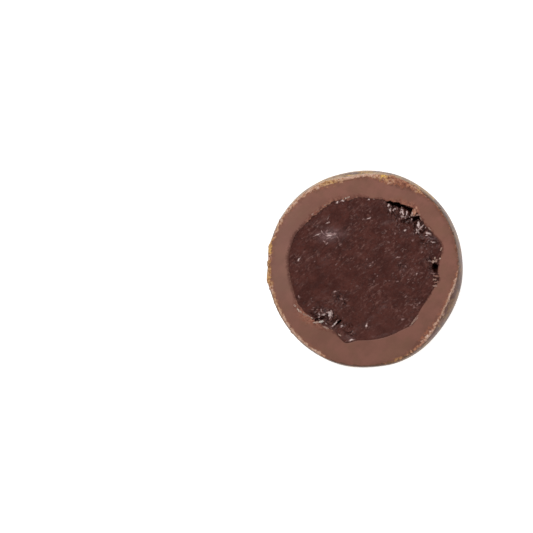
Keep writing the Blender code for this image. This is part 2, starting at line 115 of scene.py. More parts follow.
# Detail: painted highlights on the filling, pale glints where its small glossy ridges catch the light,
# which also lift its relief a little: each (x, y, length, width, turn, strength)
PAINTED_GLINTS = (
    # along the torn edge at the upper right
    (3.8, 8.54, 0.9, 0.23, 104, 1.25), (5.6, 7.66, 1.05, 0.42, 95, 1.2), (5.36, 7.8, 0.5, 0.2, 120, 0.75),
    (5.8, 7.42, 0.5, 0.18, 70, 0.65), (6.26, 7.68, 0.6, 0.2, 80, 0.9), (6.03, 6.98, 0.4, 0.2, 20, 0.75),
    (4.65, 7.42, 0.5, 0.13, -45, 0.3), (7.86, 6.34, 0.95, 0.3, 100, 1.15),
    (8.43, 5.88, 0.65, 0.22, 35, 0.95), (7.66, 5.25, 0.7, 0.17, 88, 0.95),
    (7.92, 5.14, 0.72, 0.17, 104, 0.9), (8.06, 5.48, 0.5, 0.16, 60, 0.85),
    (5.12, 5.94, 0.62, 0.19, 62, 0.95), (6.03, 5.29, 0.44, 0.26, 50, 1), (6.56, 5.78, 0.55, 0.13, 98, 0.6),
    (9.28, 4.9, 0.8, 0.26, -15, 1.05), (9.04, 4.64, 0.38, 0.2, 30, 0.85),
    (9.62, 4.62, 0.45, 0.16, -30, 0.55), (10, 3.64, 0.9, 0.12, -10, 0.85), (9.75, 4.22, 1.2, 0.12, -8, 0.5),
    (4.6, 7.6, 0.45, 0.16, 75, 0.25), (5.2, 7.1, 0.5, 0.18, 80, 0.3), (4.2, 7.6, 0.35, 0.14, 70, 0.25),
    (6.9, 6.6, 0.6, 0.18, 75, 0.45), (7.25, 5.95, 0.4, 0.16, 60, 0.4), (5.75, 6.75, 0.45, 0.16, 85, 0.35),
    (6.3, 6.42, 0.45, 0.16, 60, 0.65), (9.45, 0.98, 0.42, 0.24, 30, 0.75), (9.95, -0.76, 0.8, 0.18, 4, 0.7),
    (9.75, 5.2, 0.35, 0.2, 60, 0.5),
    # along the torn edge at the lower left
    (-4.54, -6.48, 0.76, 0.44, 80, 1.2), (-4.9, -6.28, 0.42, 0.2, 40, 0.7),
    (-5.46, -6.58, 0.66, 0.22, 8, 1), (-6.65, -6.55, 0.48, 0.11, 75, 0.6),
    (-6.46, -6.26, 0.42, 0.11, 10, 0.55), (-6.27, -6.62, 0.52, 0.11, 100, 0.65),
    (-6.04, -6.54, 0.5, 0.11, 70, 0.55), (-6.15, -6.93, 0.42, 0.11, 10, 0.5),
    (-6.44, -6.99, 0.38, 0.11, -10, 0.45), (-3.88, -7.88, 1.1, 0.22, 46, 1.15),
    (-2.93, -8.23, 0.46, 0.26, 20, 1.1), (-4.39, -8.57, 0.32, 0.2, 0, 0.7),
    (-3.8, -9.32, 0.32, 0.22, 20, 0.55), (-1.54, -10.18, 0.85, 0.22, 22, 0.95),
    (-3.4, -6.95, 0.4, 0.2, 30, 0.35), (-5.05, -7.6, 0.4, 0.18, 60, 0.4),
    # the painted sheen at the upper left
    (-4.62, 4.6, 0.95, 0.24, 4, 0.95), (-4.5, 4.62, 1.4, 0.85, -12, 0.36),
    (-5.62, 5.08, 0.85, 0.2, -55, 0.85), (-4.95, 4.86, 0.6, 0.16, -40, 0.7),
    (-4.3, 4.84, 0.7, 0.14, 10, 0.65), (-4.75, 4.22, 0.7, 0.22, 20, 0.7),
    (-6.35, 4.65, 1.15, 0.2, 24, 0.85), (-3.87, 4.75, 0.75, 0.26, 25, 0.7),
    (-3.5, 4.35, 0.6, 0.2, -30, 0.55), (-4.2, 4.15, 0.8, 0.2, 30, 0.55), (-5.35, 3.65, 0.7, 0.2, -55, 0.75),
    (-5, 3.45, 0.62, 0.2, 60, 0.72), (-5.05, 5.2, 0.6, 0.18, 35, 0.55), (-4.3, 5.3, 0.5, 0.18, -20, 0.4),
    (-7.2, 4.4, 0.55, 0.18, -50, 0.45), (-4.92, 6.34, 0.5, 0.2, 20, 0.9),
    (-4.66, 6.46, 0.32, 0.16, -30, 0.75), (-4.83, 7.02, 0.55, 0.15, 55, 0.75),
    (-7, 6.2, 0.55, 0.15, -45, 0.45), (-6.95, 4.42, 0.62, 0.24, 35, 0.5), (-6.5, 4.1, 0.4, 0.2, -30, 0.3),
    (-3.2, 5.2, 0.4, 0.2, 50, 0.3),
    # the left
    (-8.93, 1.2, 0.8, 0.28, 50, 0.85), (-6.73, 0.96, 0.32, 0.26, 40, 0.55),
    (-7.9, 0.05, 0.4, 0.18, 20, 0.3), (-10.45, 0.55, 0.3, 0.22, 60, 0.6),
    (-8.97, -4.05, 0.5, 0.22, 65, 0.7), (-9.1, -1.5, 0.5, 0.15, 10, 0.3), (-9.45, -2.4, 0.5, 0.15, 5, 0.3),
    (-9.3, -5.7, 0.5, 0.22, 40, 0.5), (-8.1, 2.6, 0.4, 0.16, 45, 0.3),
    # the top
    (-3.5, 9.24, 0.56, 0.3, 25, 0.95), (-2.5, 9.64, 1.3, 0.24, 27, 1), (0.9, 9.62, 0.42, 0.22, 10, 0.9),
    (1.62, 9.7, 0.42, 0.2, -20, 0.8), (0.86, 6.98, 0.85, 0.2, 12, 0.9), (0.2, 6.8, 0.8, 0.15, 8, 0.6),
    (-1.54, 6.13, 0.36, 0.25, 30, 0.45), (-2.4, 5.6, 0.5, 0.18, 50, 0.35), (2.27, 5.7, 0.4, 0.2, 40, 0.45),
    (-0.3, 3.05, 0.5, 0.3, 60, 0.3),
    # the middle and the right
    (3.8, 3.6, 0.42, 0.25, 30, 0.6), (7.1, 3.85, 0.55, 0.24, 35, 0.65), (6, 2.6, 0.32, 0.25, 20, 0.5),
    (5, 1.5, 0.9, 0.2, 12, 0.75), (5.3, 0.7, 0.42, 0.2, 40, 0.62), (6.16, 0.24, 0.5, 0.18, -50, 0.68),
    (4.95, 0.35, 0.32, 0.16, 0, 0.5), (-1.3, -1.6, 0.42, 0.2, 45, 0.5),
    (-0.64, -2.54, 0.42, 0.18, 10, 0.45), (1.27, -1.6, 0.9, 0.2, 4, 0.42),
    (3.83, -1.85, 0.42, 0.22, 0, 0.5), (4.93, -1.9, 0.35, 0.25, 0, 0.6), (7.7, -0.86, 0.32, 0.24, 30, 0.9),
    (7.9, -1.98, 0.3, 0.24, 0, 0.5), (7.2, -2.9, 0.36, 0.15, 0, 0.5), (4, -2.6, 0.4, 0.15, -20, 0.4),
    # the two pits
    (-3.85, -3.35, 0.65, 0.22, 15, 0.76), (-3, -4.4, 0.68, 0.22, -20, 0.68), (-2.7, -5, 0.34, 0.26, 0, 0.6),
    (-3.9, -3.95, 0.52, 0.2, 20, 0.58), (-2.4, -4.4, 0.3, 0.22, 0, 0.62),
    (-3.4, -4.9, 0.42, 0.16, 60, 0.48),
    # the bottom
    (6.13, -4, 0.72, 0.2, 18, 0.65), (8.06, -4.83, 0.32, 0.22, 30, 0.75), (4.7, -5.2, 0.36, 0.22, 40, 0.45),
    (6.5, -4.8, 0.4, 0.18, 30, 0.35), (5.8, -7.2, 0.72, 0.22, 12, 0.7), (6.9, -6.2, 0.32, 0.15, 0, 0.3),
    (0.58, -8.1, 0.8, 0.34, 82, 0.9), (0.95, -8.4, 0.4, 0.2, 60, 0.6), (2.1, -6.3, 0.35, 0.16, 30, 0.28),
    (-0.9, -6.6, 0.4, 0.16, 40, 0.25),
)
# Detail: the highest crests of the torn filling, each (x, y, length, width, height, turn)
CRESTS = (
    (3.82, 8.5, 0.7, 0.24, 0.34, 85), (5.6, 7.7, 1, 0.5, 0.46, 95), (6.28, 7.7, 0.55, 0.26, 0.38, 80),
    (4.7, 7.1, 0.7, 0.26, 0.3, 72), (7.88, 6.33, 0.92, 0.32, 0.46, 98), (8.2, 5.6, 0.8, 0.34, 0.4, 35),
    (8.68, 5.55, 0.5, 0.26, 0.36, 60), (9.34, 4.8, 0.85, 0.36, 0.4, -15), (10.05, 3.7, 0.9, 0.2, 0.26, -10),
    (6.85, 6.6, 0.6, 0.26, 0.32, 75), (6.08, 5.32, 0.55, 0.3, 0.2, 40), (5.2, 6.05, 0.55, 0.22, 0.2, 65),
    (-5.46, -6.56, 0.62, 0.22, 0.3, 10), (-4.56, -6.44, 0.74, 0.5, 0.4, 75),
    (-6.2, -6.45, 0.8, 0.46, 0.34, 25), (-3.88, -7.95, 1, 0.24, 0.32, 47),
    (-2.93, -8.22, 0.45, 0.26, 0.28, 30), (-5.15, -7.4, 0.6, 0.3, 0.3, 50),
    (-3.5, 9.27, 0.5, 0.3, 0.26, 35), (-2.52, 9.64, 1.1, 0.2, 0.24, 26), (9.3, 1.25, 0.6, 0.24, 0.28, 30),
)
# Detail: chips of the shell's chocolate along its inner edge,
# each (x, y, length, width, turn, paleness); the palest, whitish ones carry a painted highlight
CHIPS = (
    (-5.8, -7.56, 0.84, 0.34, 12, 1), (-6.46, -7.68, 1.1, 0.26, 6, 0.5),
    (-9.53, -5.32, 0.45, 0.28, -30, 0.6), (-8.9, -6.08, 0.95, 0.26, -40, 0.8),
    (7.12, 7.62, 0.95, 0.46, 42, 0.5), (9.98, 0.92, 0.5, 0.32, 15, 0.6), (10.38, 1, 0.42, 0.28, 50, 0.3),
    (10.22, 1.38, 0.45, 0.16, 75, 0.45), (10.42, -1.12, 0.85, 0.34, 0, 0.05),
    (10.2, -1.6, 0.6, 0.22, 8, 0.35), (10.5, -2, 0.8, 0.3, -4, 0), (10.3, -2.52, 0.85, 0.22, -10, 0.3),
    (10.92, 1.36, 0.42, 0.2, 60, 0.7), (11.1, 2.75, 0.7, 0.2, 62, 0.35), (-8.3, -6.55, 0.6, 0.2, -38, 0.5),
    (9.42, 5.52, 0.55, 0.26, -55, 0.35), (8.2, 6.95, 0.5, 0.16, -50, 0.2),
    (-5.1, -8.44, 1.05, 0.24, -20, 0.45), (-8.02, -6.62, 0.8, 0.13, -38, 0.4),
    (-7.62, -6.8, 0.7, 0.13, -42, 0.35), (-3.2, -9.45, 0.55, 0.18, -35, 0.3),
    (7.48, -7.22, 2.7, 0.26, 51, 0.32), (-6.95, 7.6, 0.6, 0.2, 40, 0.3), (-6.35, 8.1, 0.4, 0.18, 20, 0.4),
    (-2.18, 9.84, 0.75, 0.18, 27, 0.85), (-5.2, 8.85, 0.35, 0.16, 30, 0.3),
    (-7.13, -7.08, 0.4, 0.26, -60, 0.6), (7.87, 7.46, 0.7, 0.26, 14, 0.25),
)
# Detail: where the knife left the filling smooth and plain, each (x, y, radius)
CALM_PLACES = (
    (-5.6, -2, 2.8), (-3.8, 7.4, 2.2), (-0.6, -7.4, 1.4), (2.6, -8, 2.4), (-1.6, -1.6, 1.6),
)
# Detail: the two pits and the one at the right; torn places that are smoother or cleaner than the
# rest; each (x, y, radius)
PITS = tuple(spot[:3] for spot in SURFACE_SPOTS[:3])
SMOOTHER_TEAR, CLEANER_TEAR = (9.6, 0.6, math.sqrt(2)), (-1.6, -8.9, math.sqrt(1.4))
# Detail: patches of painted lilac-grey sheen, each (x, y, length, width, turn)
SHEENS = ((-4.55, 4.6, 2.8, 1.56, 4), (9.7, 4.22, 1.7, 0.52, -8))
TEAR_TURN = 80  # the direction of the fine streaks on the torn filling

# Detail: the gilded skin smeared over the edge of the cut, as (azimuth, width of the smear, share
# of pale crumbs, share of red-brown behind it, share of gold, how far crumbs hang over the outside)
RIM = (
    (0, 0.14, 0.35, 0.3, 0, 0), (30, 0.16, 0.35, 0.3, 0, 0), (44, 0.2, 0.4, 0.5, 0, 0),
    (50, 0.32, 0.45, 0.7, 0.1, 0), (54, 0.58, 1.2, 0.4, 0.7, 0.1), (57, 0.48, 0.7, 1.1, 0.3, 0.1),
    (62, 0.72, 0.62, 1.4, 0, 0.3), (68, 0.86, 0.66, 1.5, 0, 0.4), (73, 0.92, 0.85, 1, 0.2, 0.5),
    (77, 0.84, 1, 0.6, 1.6, 0.6), (81, 0.62, 1, 0.5, 0.5, 0.5), (86, 0.32, 1, 0.4, 0, 0.4),
    (92, 0.24, 1.1, 0.3, 0, 0.4), (98, 0.28, 1.2, 0.2, 0, 0.5), (104, 0.56, 1.1, 0.2, 0.3, 0.6),
    (110, 0.74, 1.1, 0.2, 0.9, 0.6), (116, 0.66, 1.05, 0.3, 0.6, 0.5), (122, 0.52, 1.05, 0.4, 0.1, 0.4),
    (130, 0.36, 1.05, 0.4, 0, 0.3), (140, 0.36, 1.05, 0.3, 0.1, 0.2), (150, 0.36, 1, 0.2, 0.1, 0.1),
    (160, 0.34, 0.9, 0.2, 0.3, 0.1), (164, 0.36, 0.8, 0.3, 0.8, 0.2), (168, 0.6, 0.75, 0.3, 1.1, 0.3),
    (172, 0.6, 0.75, 0.3, 1.1, 0.3), (177, 0.36, 0.7, 0.3, 0.6, 0.1), (181, 0.42, 0.75, 0.3, 0.7, 0.2),
    (186, 0.6, 0.8, 0.3, 0.9, 0.3), (190, 0.56, 0.85, 0.3, 0.8, 0.2), (195, 0.44, 1, 0.3, 0.5, 0),
    (201, 0.48, 1.2, 0.2, 0.4, 0), (212, 0.46, 1.3, 0.2, 0.1, 0), (220, 0.38, 1.4, 0.2, 0, 0),
    (228, 0.34, 1.3, 0.2, 0, 0), (236, 0.38, 1.4, 0.2, 0, 0), (243, 0.46, 1.6, 0.2, 0, 0),
    (249, 0.26, 0.3, 0.2, 0, 0), (256, 0.2, -0.5, 0.2, 0, 0), (270, 0.2, -0.8, 0.3, 0, 0),
    (282, 0.34, -0.6, 0.4, 0, 0), (290, 0.4, 0.1, 0.5, 0.4, 0), (298, 0.4, 0.4, 0.5, 0.2, 0),
    (304, 0.4, 0.6, 0.9, 0.1, 0), (309, 0.64, 1.15, 0.8, 0, 0), (314, 0.8, 1.4, 0.6, 0, 0),
    (319, 0.62, 1.3, 0.6, 0, 0), (324, 0.44, 1.1, 0.7, 0, 0), (330, 0.36, 1.2, 0.3, 0, 0),
    (338, 0.36, 1.3, 0.3, 0, 0), (346, 0.36, 1.2, 0.3, 0, 0), (353, 0.4, 1.2, 0.4, 0, 0),
    (357, 0.22, 0.7, 0.3, 0, 0), (360, 0.14, 0.35, 0.3, 0, 0),
)
RIM_KEYS = ("smear", "pale", "red", "gold", "over")

# Detail: how ragged the cavity's wall is, as (azimuth, share)
RAGGED = (
    (0, 0.5), (18, 0.8), (30, 1), (62, 1.3), (76, 0.8), (86, 0.5), (97, 1.3), (138, 1.5), (152, 0.3),
    (200, 0.25), (213, 1.1), (242, 1.1), (250, 0.5), (260, 0.2), (330, 0.15), (342, 0.6), (354, 0.8),
    (360, 0.5),
)
# Detail: how far the filling's colour is wiped over the cut wall,
# as (azimuth, width, share of red-brown)
WIPED = (
    (0, 0.22, 0.3), (20, 0.36, 0.2), (42, 0.36, 0.4), (48, 0.85, 1.3), (62, 0.85, 1.3), (70, 0.5, 0.6),
    (84, 0.24, 0.2), (95, 0.6, 0.3), (124, 0.6, 0.8), (136, 0.6, 0.8), (146, 0.5, 0), (185, 0.48, 0),
    (205, 0.5, 0.2), (213, 1.1, 0.8), (222, 1.5, 1.1), (230, 1.05, 0.8), (240, 0.6, 0.3), (252, 0.1, 0),
    (262, 0.02, 0), (325, 0.02, 0), (335, 0.2, 0.3), (360, 0.22, 0.3),
)
# Detail: where the lustre is rubbed thin below the cut, as (azimuth, half width)
RUBBED = (345, 70)

# Detail: noises of the wall, the filling, its air gaps and painted highlights, each (height, wave length,
# place)
WALL_WAVES = ((0.12, 1.3, (2.2, 5, 0)), (0.13, 0.5, (7, 0.3, 3)), (0.09, 0.24, (1, 6.3, 2)))
FILLING_WAVES = ((0.035, 0.7, (0, 4, 1)), (0.015, 0.22, (9, 4, 1)))
GAP_WAVES = (
    ((0.16, 0.45, (1, 0, 0)), (0.06, 0.18, (0, 2, 0))),
    ((0.16, 0.45, (0, 0, 5)), (0.06, 0.18, (8, 2, 0))),
)
GLINT_WAVES = (
    ((0.14, 0.34, (4, 1, 7)), (0.08, 0.15, (2, 9, 1))),
    ((0.14, 0.34, (6, 5, 2)), (0.08, 0.15, (5, 0, 8))),
)

# Detail: chance painted highlights and crumbs, how far out they lie, and the raggedness of the small lumps
GLINT_GROUPS, TORN_GLINTS, GLINTS_REACH, GLINT_SPREAD = 120, 125, 10.3, 0.45
CRUMBS, CRUMBS_REACH, CRUMB_RAGGEDNESS, CRUMB_TILT = 60, 10.0, 0.25, 4
CREST_RAGGEDNESS, CHIP_RAGGEDNESS, CHIP_HEIGHT, CHIP_SINK, CHIP_TILT = 0.4, 0.35, 0.3, 0.06, 4

# Meshes: points around and in rows; the rows of the foot, as shares of its radius; how much rows
# crowd towards the edge; where the rounding at the edge and at the wall ends; the wall's rows
SHELL_COLUMNS, OUTSIDE_ROWS, FACE_ROWS, WALL_ROWS = 720, 84, 24, 8
FILLING_GRID, FILLING_SIDE_ROWS = 276, 9
FOOT_ROWS, CROWDING, EDGE_ROUND, LIP_ROUND = (0.3, 0.6, 0.8, 0.94), 1.35, 0.12, 0.07
WALL_START, WALL_SPAN, DEEP_WALL = 0.5, 22, (-20, -40, -60, -78)
FAR = 9.0  # stands for any distance at which the edge or the wall no longer counts

draw = random.Random(7)


def units(azimuth, elevation):
    """Directions at azimuths and elevations in degrees, as rows."""
    around, up = np.broadcast_arrays(np.radians(azimuth), np.radians(elevation))
    return np.stack([np.cos(around) * np.cos(up), np.sin(around) * np.cos(up), np.sin(up)], axis=-1)


def lumpy_radii(directions, mean, lumps):
    """The radii of an uneven ball towards rows of directions."""
    radii = np.full(len(directions), mean)
    for azimuth, elevation, width, height in lumps:
        cosines = np.clip(directions @ units(azimuth, elevation), -1, 1)
        radii += height * np.exp(-((np.degrees(np.arccos(cosines)) / width) ** 2))
    return radii


def noise_at(points, wave, place=(0, 0, 0)):
    """Smooth noise of a wave length at rows of points."""
    return np.array([noise.noise(point) for point in (points / wave + np.array(place)).tolist()])


def waves_at(points, waves):
    """A sum of noises, each (height, wave length, place)."""
    return sum(height * noise_at(points, wave, place) for height, wave, place in waves)


def ridges_at(points, wave, place):
    """Noise of 0 to 1 with sharp ridges."""
    return 1 - np.minimum(1, 2.4 * np.abs(noise_at(points, wave, place)))


def flat_points(x, y):
    return np.stack([x, y, np.zeros_like(x)], axis=-1)


def turned(x, y, middle_x, middle_y, turn):
    """Coordinates along and across an axis turned by degrees about a middle."""
    cosine, sine = math.cos(math.radians(turn)), math.sin(math.radians(turn))
    x, y = x - middle_x, y - middle_y
    return x * cosine + y * sine, y * cosine - x * sine


def streaks_at(x, y, turn, length, width, place):
    """Noise drawn out along a direction in degrees."""
    along, across = turned(x, y, 0, 0, turn)
    return noise_at(np.stack([along / length, across / width, np.full_like(along, place)], axis=-1), 1.0)


def bell(x, y, middle_x, middle_y, radius):
    """1 at a middle, falling to 0 round it."""
    return np.exp(-((x - middle_x) ** 2 + (y - middle_y) ** 2) / radius**2)


def nearness(x, y, places):
    """1 at the middles of places (x, y, radius), falling to 0 round them."""
    return np.max([bell(x, y, *place) for place in places], axis=0)


def oval(x, y, middle_x, middle_y, length, width, turn):
    """The square of the distance from an oval's middle, 1 on its outline."""
    along, across = turned(x, y, middle_x, middle_y, turn)
    return (2 * along / length) ** 2 + (2 * across / width) ** 2


def smoothstep(value, low, high):
    share = np.clip((value - low) / (high - low), 0, 1)
    return share * share * (3 - 2 * share)


def outside_radii(directions):
    """The ball's radii, with the faint waviness of dipped chocolate."""
    wavy = noise_at(directions * BALL_RADIUS, 3.2, (4.4, 1.2, 8.8))
    return lumpy_radii(directions, BALL_RADIUS - 0.03, BALL_LUMPS) + 0.035 * wavy


def wall_radii(directions):
    """The cavity's radii, with the fine raggedness of its wall."""
    azimuths = np.degrees(np.arctan2(directions[:, 1], directions[:, 0])) % 360
    fine = np.interp(azimuths, *zip(*RAGGED)) * waves_at(directions * CAVITY_RADIUS, WALL_WAVES)
    return lumpy_radii(directions, CAVITY_RADIUS, CAVITY_LUMPS) + fine


# The two uneven balls, each by its middle and its radii
OUTSIDE, WALL = (BALL_MIDDLE, outside_radii), (CAVITY_MIDDLE, wall_radii)


def ball_points(azimuths, elevations, ball):
    middle, radii = ball
    directions = units(azimuths, elevations)
    return middle + directions * radii(directions)[:, None]


def elevations_at(azimuths, height, ball, low, high):
    """The elevations at which an uneven ball reaches a height, by halving the range."""
    low, high = np.full(len(azimuths), float(low)), np.full(len(azimuths), float(high))
    for _ in range(26):
        elevations = (low + high) / 2
        under = ball_points(azimuths, elevations, ball)[:, 2] < height
        low, high = np.where(under, elevations, low), np.where(under, high, elevations)
    return high


def cut_elevations(azimuths, ball):
    return elevations_at(azimuths, CUT_HEIGHT, ball, 0, 60)


CAVITY_BOTTOM = ball_points(np.zeros(1), np.array([-90.0]), WALL)


def scattered(reach):
    """A chance place on the filling."""
    azimuth, distance = draw.uniform(0, 2 * math.pi), reach * math.sqrt(draw.random())
    return CAVITY_MIDDLE[0] + distance * math.cos(azimuth), CAVITY_MIDDLE[1] + distance * math.sin(azimuth)


def faint_painted_glints():
    """Faint small painted highlights in loose groups over the filling, and brighter ones where it is torn.
    """
    painted_glints = []
    for _ in range(GLINT_GROUPS):
        middle_x, middle_y = scattered(GLINTS_REACH)
        turn, strength = draw.gauss(36, 24), draw.uniform(0.26, 0.62)
        for _ in range(draw.randint(1, 8)):
            x, y = middle_x + draw.gauss(0, GLINT_SPREAD), middle_y + draw.gauss(0, GLINT_SPREAD)
            size = (draw.uniform(0.22, 0.6), draw.uniform(0.12, 0.19))
            painted_glint = (x, y, *size, draw.gauss(turn, 14), strength * draw.uniform(0.5, 1.2))
            if nearness(x, y, CALM_PLACES) < 0.45:
                painted_glints.append(painted_glint)
    for _ in range(TORN_GLINTS):
        x, y, radius = draw.choice(TORN_PLACES[:3] + TORN_PLACES[5:7])
        azimuth, reach, size = draw.uniform(0, 2 * math.pi), radius * draw.random(), draw.uniform(0.15, 0.45)
        x, y = x + reach * math.cos(azimuth), y + reach * math.sin(azimuth)
        size = (size, size * draw.uniform(0.25, 0.5))
        painted_glints.append((x, y, *size, draw.gauss(TEAR_TURN, 30), draw.uniform(0.35, 0.9)))
    return tuple(painted_glints)


ALL_PAINTED_GLINTS = PAINTED_GLINTS + faint_painted_glints()


def solid_relief(x, y):
    """The height above the cut of the solid's surface."""
    points = flat_points(x, y)
    height = UNDULATION_HEIGHT * noise_at(points, UNDULATION_WAVE, UNDULATION_PLACE)
    height += DRAG_HEIGHT * streaks_at(x, y, DRAG_TURN, DRAG_LENGTH, DRAG_WIDTH, DRAG_PLACE)
    for *spot, spot_height in SURFACE_SPOTS:
        height += spot_height * bell(x, y, *spot)
    torn_height = TORN_HEIGHT * noise_at(points, TORN_WAVE, TORN_PLACE) - TORN_DROP
    height += nearness(x, y, TORN_PLACES) * torn_height
    return np.minimum(height - FILLING_BELOW_CUT, RELIEF_TOP)


def mesh_object(name, points, faces, shares=None, smooth=True):
    """A mesh from points in millimetres, kept within the solids' box, with named numbers for each point."""
    points = np.clip(np.asarray(points) * MM, np.array(cad_low), np.array(cad_high))
    mesh = bpy.data.meshes.new(name)
    mesh.from_pydata(points.tolist(), [], faces)
    for key, values in (shares or {}).items():
        mesh.attributes.new(key, "FLOAT", "POINT").data.foreach_set("value", np.asarray(values, dtype=float))
    if smooth:
        mesh.shade_smooth()
    obj = bpy.data.objects.new(name, mesh)
    bpy.context.scene.collection.objects.link(obj)
    return obj


def strip_faces(lower, upper):
    """Quads between two closed rings of point numbers."""
    return [(lower[i - 1], lower[i], upper[i], upper[i - 1]) for i in range(len(lower))]


def fan_faces(pole, ring):
    """Triangles between a pole and a closed ring of point numbers."""
    return [(pole, ring[i - 1], ring[i]) for i in range(len(ring))]


def corner(start, middle, end, steps):
    """Rows of points on a round corner, its ends left out."""
    shares = [step / (steps + 1) for step in range(1, steps + 1)]
    return [(1 - t) ** 2 * start + 2 * t * (1 - t) * middle + t**2 * end for t in shares]


def edge_points(azimuths):
    """Where the outside meets the cut."""
    return ball_points(azimuths, cut_elevations(azimuths, OUTSIDE), OUTSIDE)


def rim_shares(azimuths):
    """The numbers of the rim's table at azimuths."""
    columns = list(zip(*RIM))
    return {key: np.interp(azimuths % 360, columns[0], column) for key, column in zip(RIM_KEYS, columns[1:])}


def flake_shares(points):
    """The rim's numbers at points near the edge, with their distances inward from it."""
    azimuths = np.degrees(np.arctan2(points[:, 1], points[:, 0]))
    edge = edge_points(azimuths)
    inset = np.hypot(edge[:, 0], edge[:, 1]) - np.hypot(points[:, 0], points[:, 1])
    return {**rim_shares(azimuths), "inset": inset}


# ---------------------------------------------------------------- the shell
def build_shell():
    azimuths = np.arange(SHELL_COLUMNS) * 360 / SHELL_COLUMNS
    rim = rim_shares(azimuths)
    wiped_azimuths, wiped_widths, wiped_reds = zip(*WIPED)
    wiped = np.interp(azimuths, wiped_azimuths, wiped_widths)
    flat = elevations_at(azimuths, 0.0, OUTSIDE, -89, -60)
    top, wall_top = cut_elevations(azimuths, OUTSIDE), cut_elevations(azimuths, WALL)
    edge, lip = ball_points(azimuths, top, OUTSIDE), ball_points(azimuths, wall_top, WALL)
    rows, skin, inset, wall = [], [], [], []

    def add(row, skin_share, distance, from_wall=FAR):
        """Adds a ring, with the skin's share and the distances inward from the edge and from the wall."""
        rows.append(row)
        skin.append(np.full(SHELL_COLUMNS, skin_share))
        inset.append(np.broadcast_to(distance, SHELL_COLUMNS))
        wall.append(np.broadcast_to(from_wall, SHELL_COLUMNS) / wiped)

    foot = ball_points(azimuths, flat, OUTSIDE) * (1, 1, 0)
    for share in FOOT_ROWS:
        add(foot * share, 1.0, -FAR)
    for step in range(OUTSIDE_ROWS):
        share = 1 - (1 - step / (OUTSIDE_ROWS - 1)) ** CROWDING
        elevations = flat + (top - np.degrees(EDGE_ROUND / BALL_RADIUS) - flat) * share
        row = ball_points(azimuths, elevations, OUTSIDE)
        row[:, 2] = np.maximum(row[:, 2], 0.0)
        add(row, 1.0, -np.radians(top - elevations) * BALL_RADIUS)
    inward = (lip - edge) / np.linalg.norm(edge - lip, axis=1)[:, None]
    face_start, face_end = edge + inward * EDGE_ROUND, lip - inward * LIP_ROUND
    for number, row in enumerate(corner(rows[-1], edge, face_start, 3)):
        add(row, 1 - (number + 1) / 4, 0.04 * (number - 1))
    for step in range(FACE_ROWS):
        row = face_start + (face_end - face_start) * (step / (FACE_ROWS - 1)) ** CROWDING
        add(row, 0.0, np.linalg.norm(row - edge, axis=1), np.linalg.norm(row - lip, axis=1))
    for row in corner(face_end, lip, ball_points(azimuths, wall_top - WALL_START, WALL), 2):
        add(row, 0.0, FAR, 0.05)
    for step in range(WALL_ROWS):
        elevations = wall_top - WALL_START - WALL_SPAN * (step / (WALL_ROWS - 1))
        add(ball_points(azimuths, elevations, WALL), 0.0, FAR, 0.05)
    for elevation in DEEP_WALL:
        add(ball_points(azimuths, elevation, WALL), 0.0, FAR, 0.0)

    numbers = np.arange(len(rows) * SHELL_COLUMNS).reshape(len(rows), SHELL_COLUMNS).tolist()
    faces = [face for lower, upper in zip(numbers, numbers[1:]) for face in strip_faces(lower, upper)]
    points = np.concatenate(rows)
    faces += fan_faces(len(points), numbers[0][::-1]) + fan_faces(len(points) + 1, numbers[-1])
    skin, inset, wall = np.concatenate(skin), np.concatenate(inset), np.concatenate(wall)
    widths = np.tile(rim["smear"], len(rows))

    # The crumbled edge stands up and out in small ridges, most where the skin is smeared widest.
    near = np.exp(-((inset / (0.12 + 0.75 * widths)) ** 2)) * (points[:, 2] > BALL_MIDDLE[2])
    ridged = ridges_at(points, (0.55, 0.55, 0.3), (1.1, 6.2, 3.3)) - 0.45
    lift = near * widths * (0.12 * ridged + 0.07 * noise_at(points, 0.16, (5, 2, 9)))
    outward = points[:, :2] / np.linalg.norm(points[:, :2] + 1e-9, axis=1)[:, None]
    side = smoothstep(inset, 0.15, -0.12)
    points[:, 2] += lift * (1 - side)
    points[:, :2] += outward * (lift * side)[:, None]
    # Faint drag of the knife on the cut face
    face = (inset > 0.05) & (inset < FAR - 1)
    dragged = streaks_at(points[:, 0], points[:, 1], DRAG_TURN, 4.0, 0.5, 0.0)
    points[:, 2] += np.where(face, 0.012 * dragged + 0.02 * noise_at(points, 1.7), 0.0)

    # The lustre is rubbed thin high up on one side.
    away = (np.tile(azimuths, len(rows)) - RUBBED[0] + 180) % 360 - 180
    high_up = smoothstep(points[:, 2], BALL_MIDDLE[2] - 4.0, BALL_MIDDLE[2])
    rubbed = high_up * np.exp(-((away / RUBBED[1]) ** 2))
    shares = {
        "rubbed": np.append(rubbed, (0.0, 0.0)),
        "skin": np.append(skin, (1.0, 0.0)),
        "inset": np.append(inset, (-FAR, FAR)),
        "wall": np.append(wall, (FAR, 0.0)),
    }
    for key, values in {**rim, "ruddy": np.interp(azimuths, wiped_azimuths, wiped_reds)}.items():
        shares[key] = np.append(np.tile(values, len(rows)), (0.0, 0.0))
    points = np.concatenate([points, [(0.0, 0.0, 0.0)], CAVITY_BOTTOM])
    return mesh_object("shell_body", points, faces, shares)


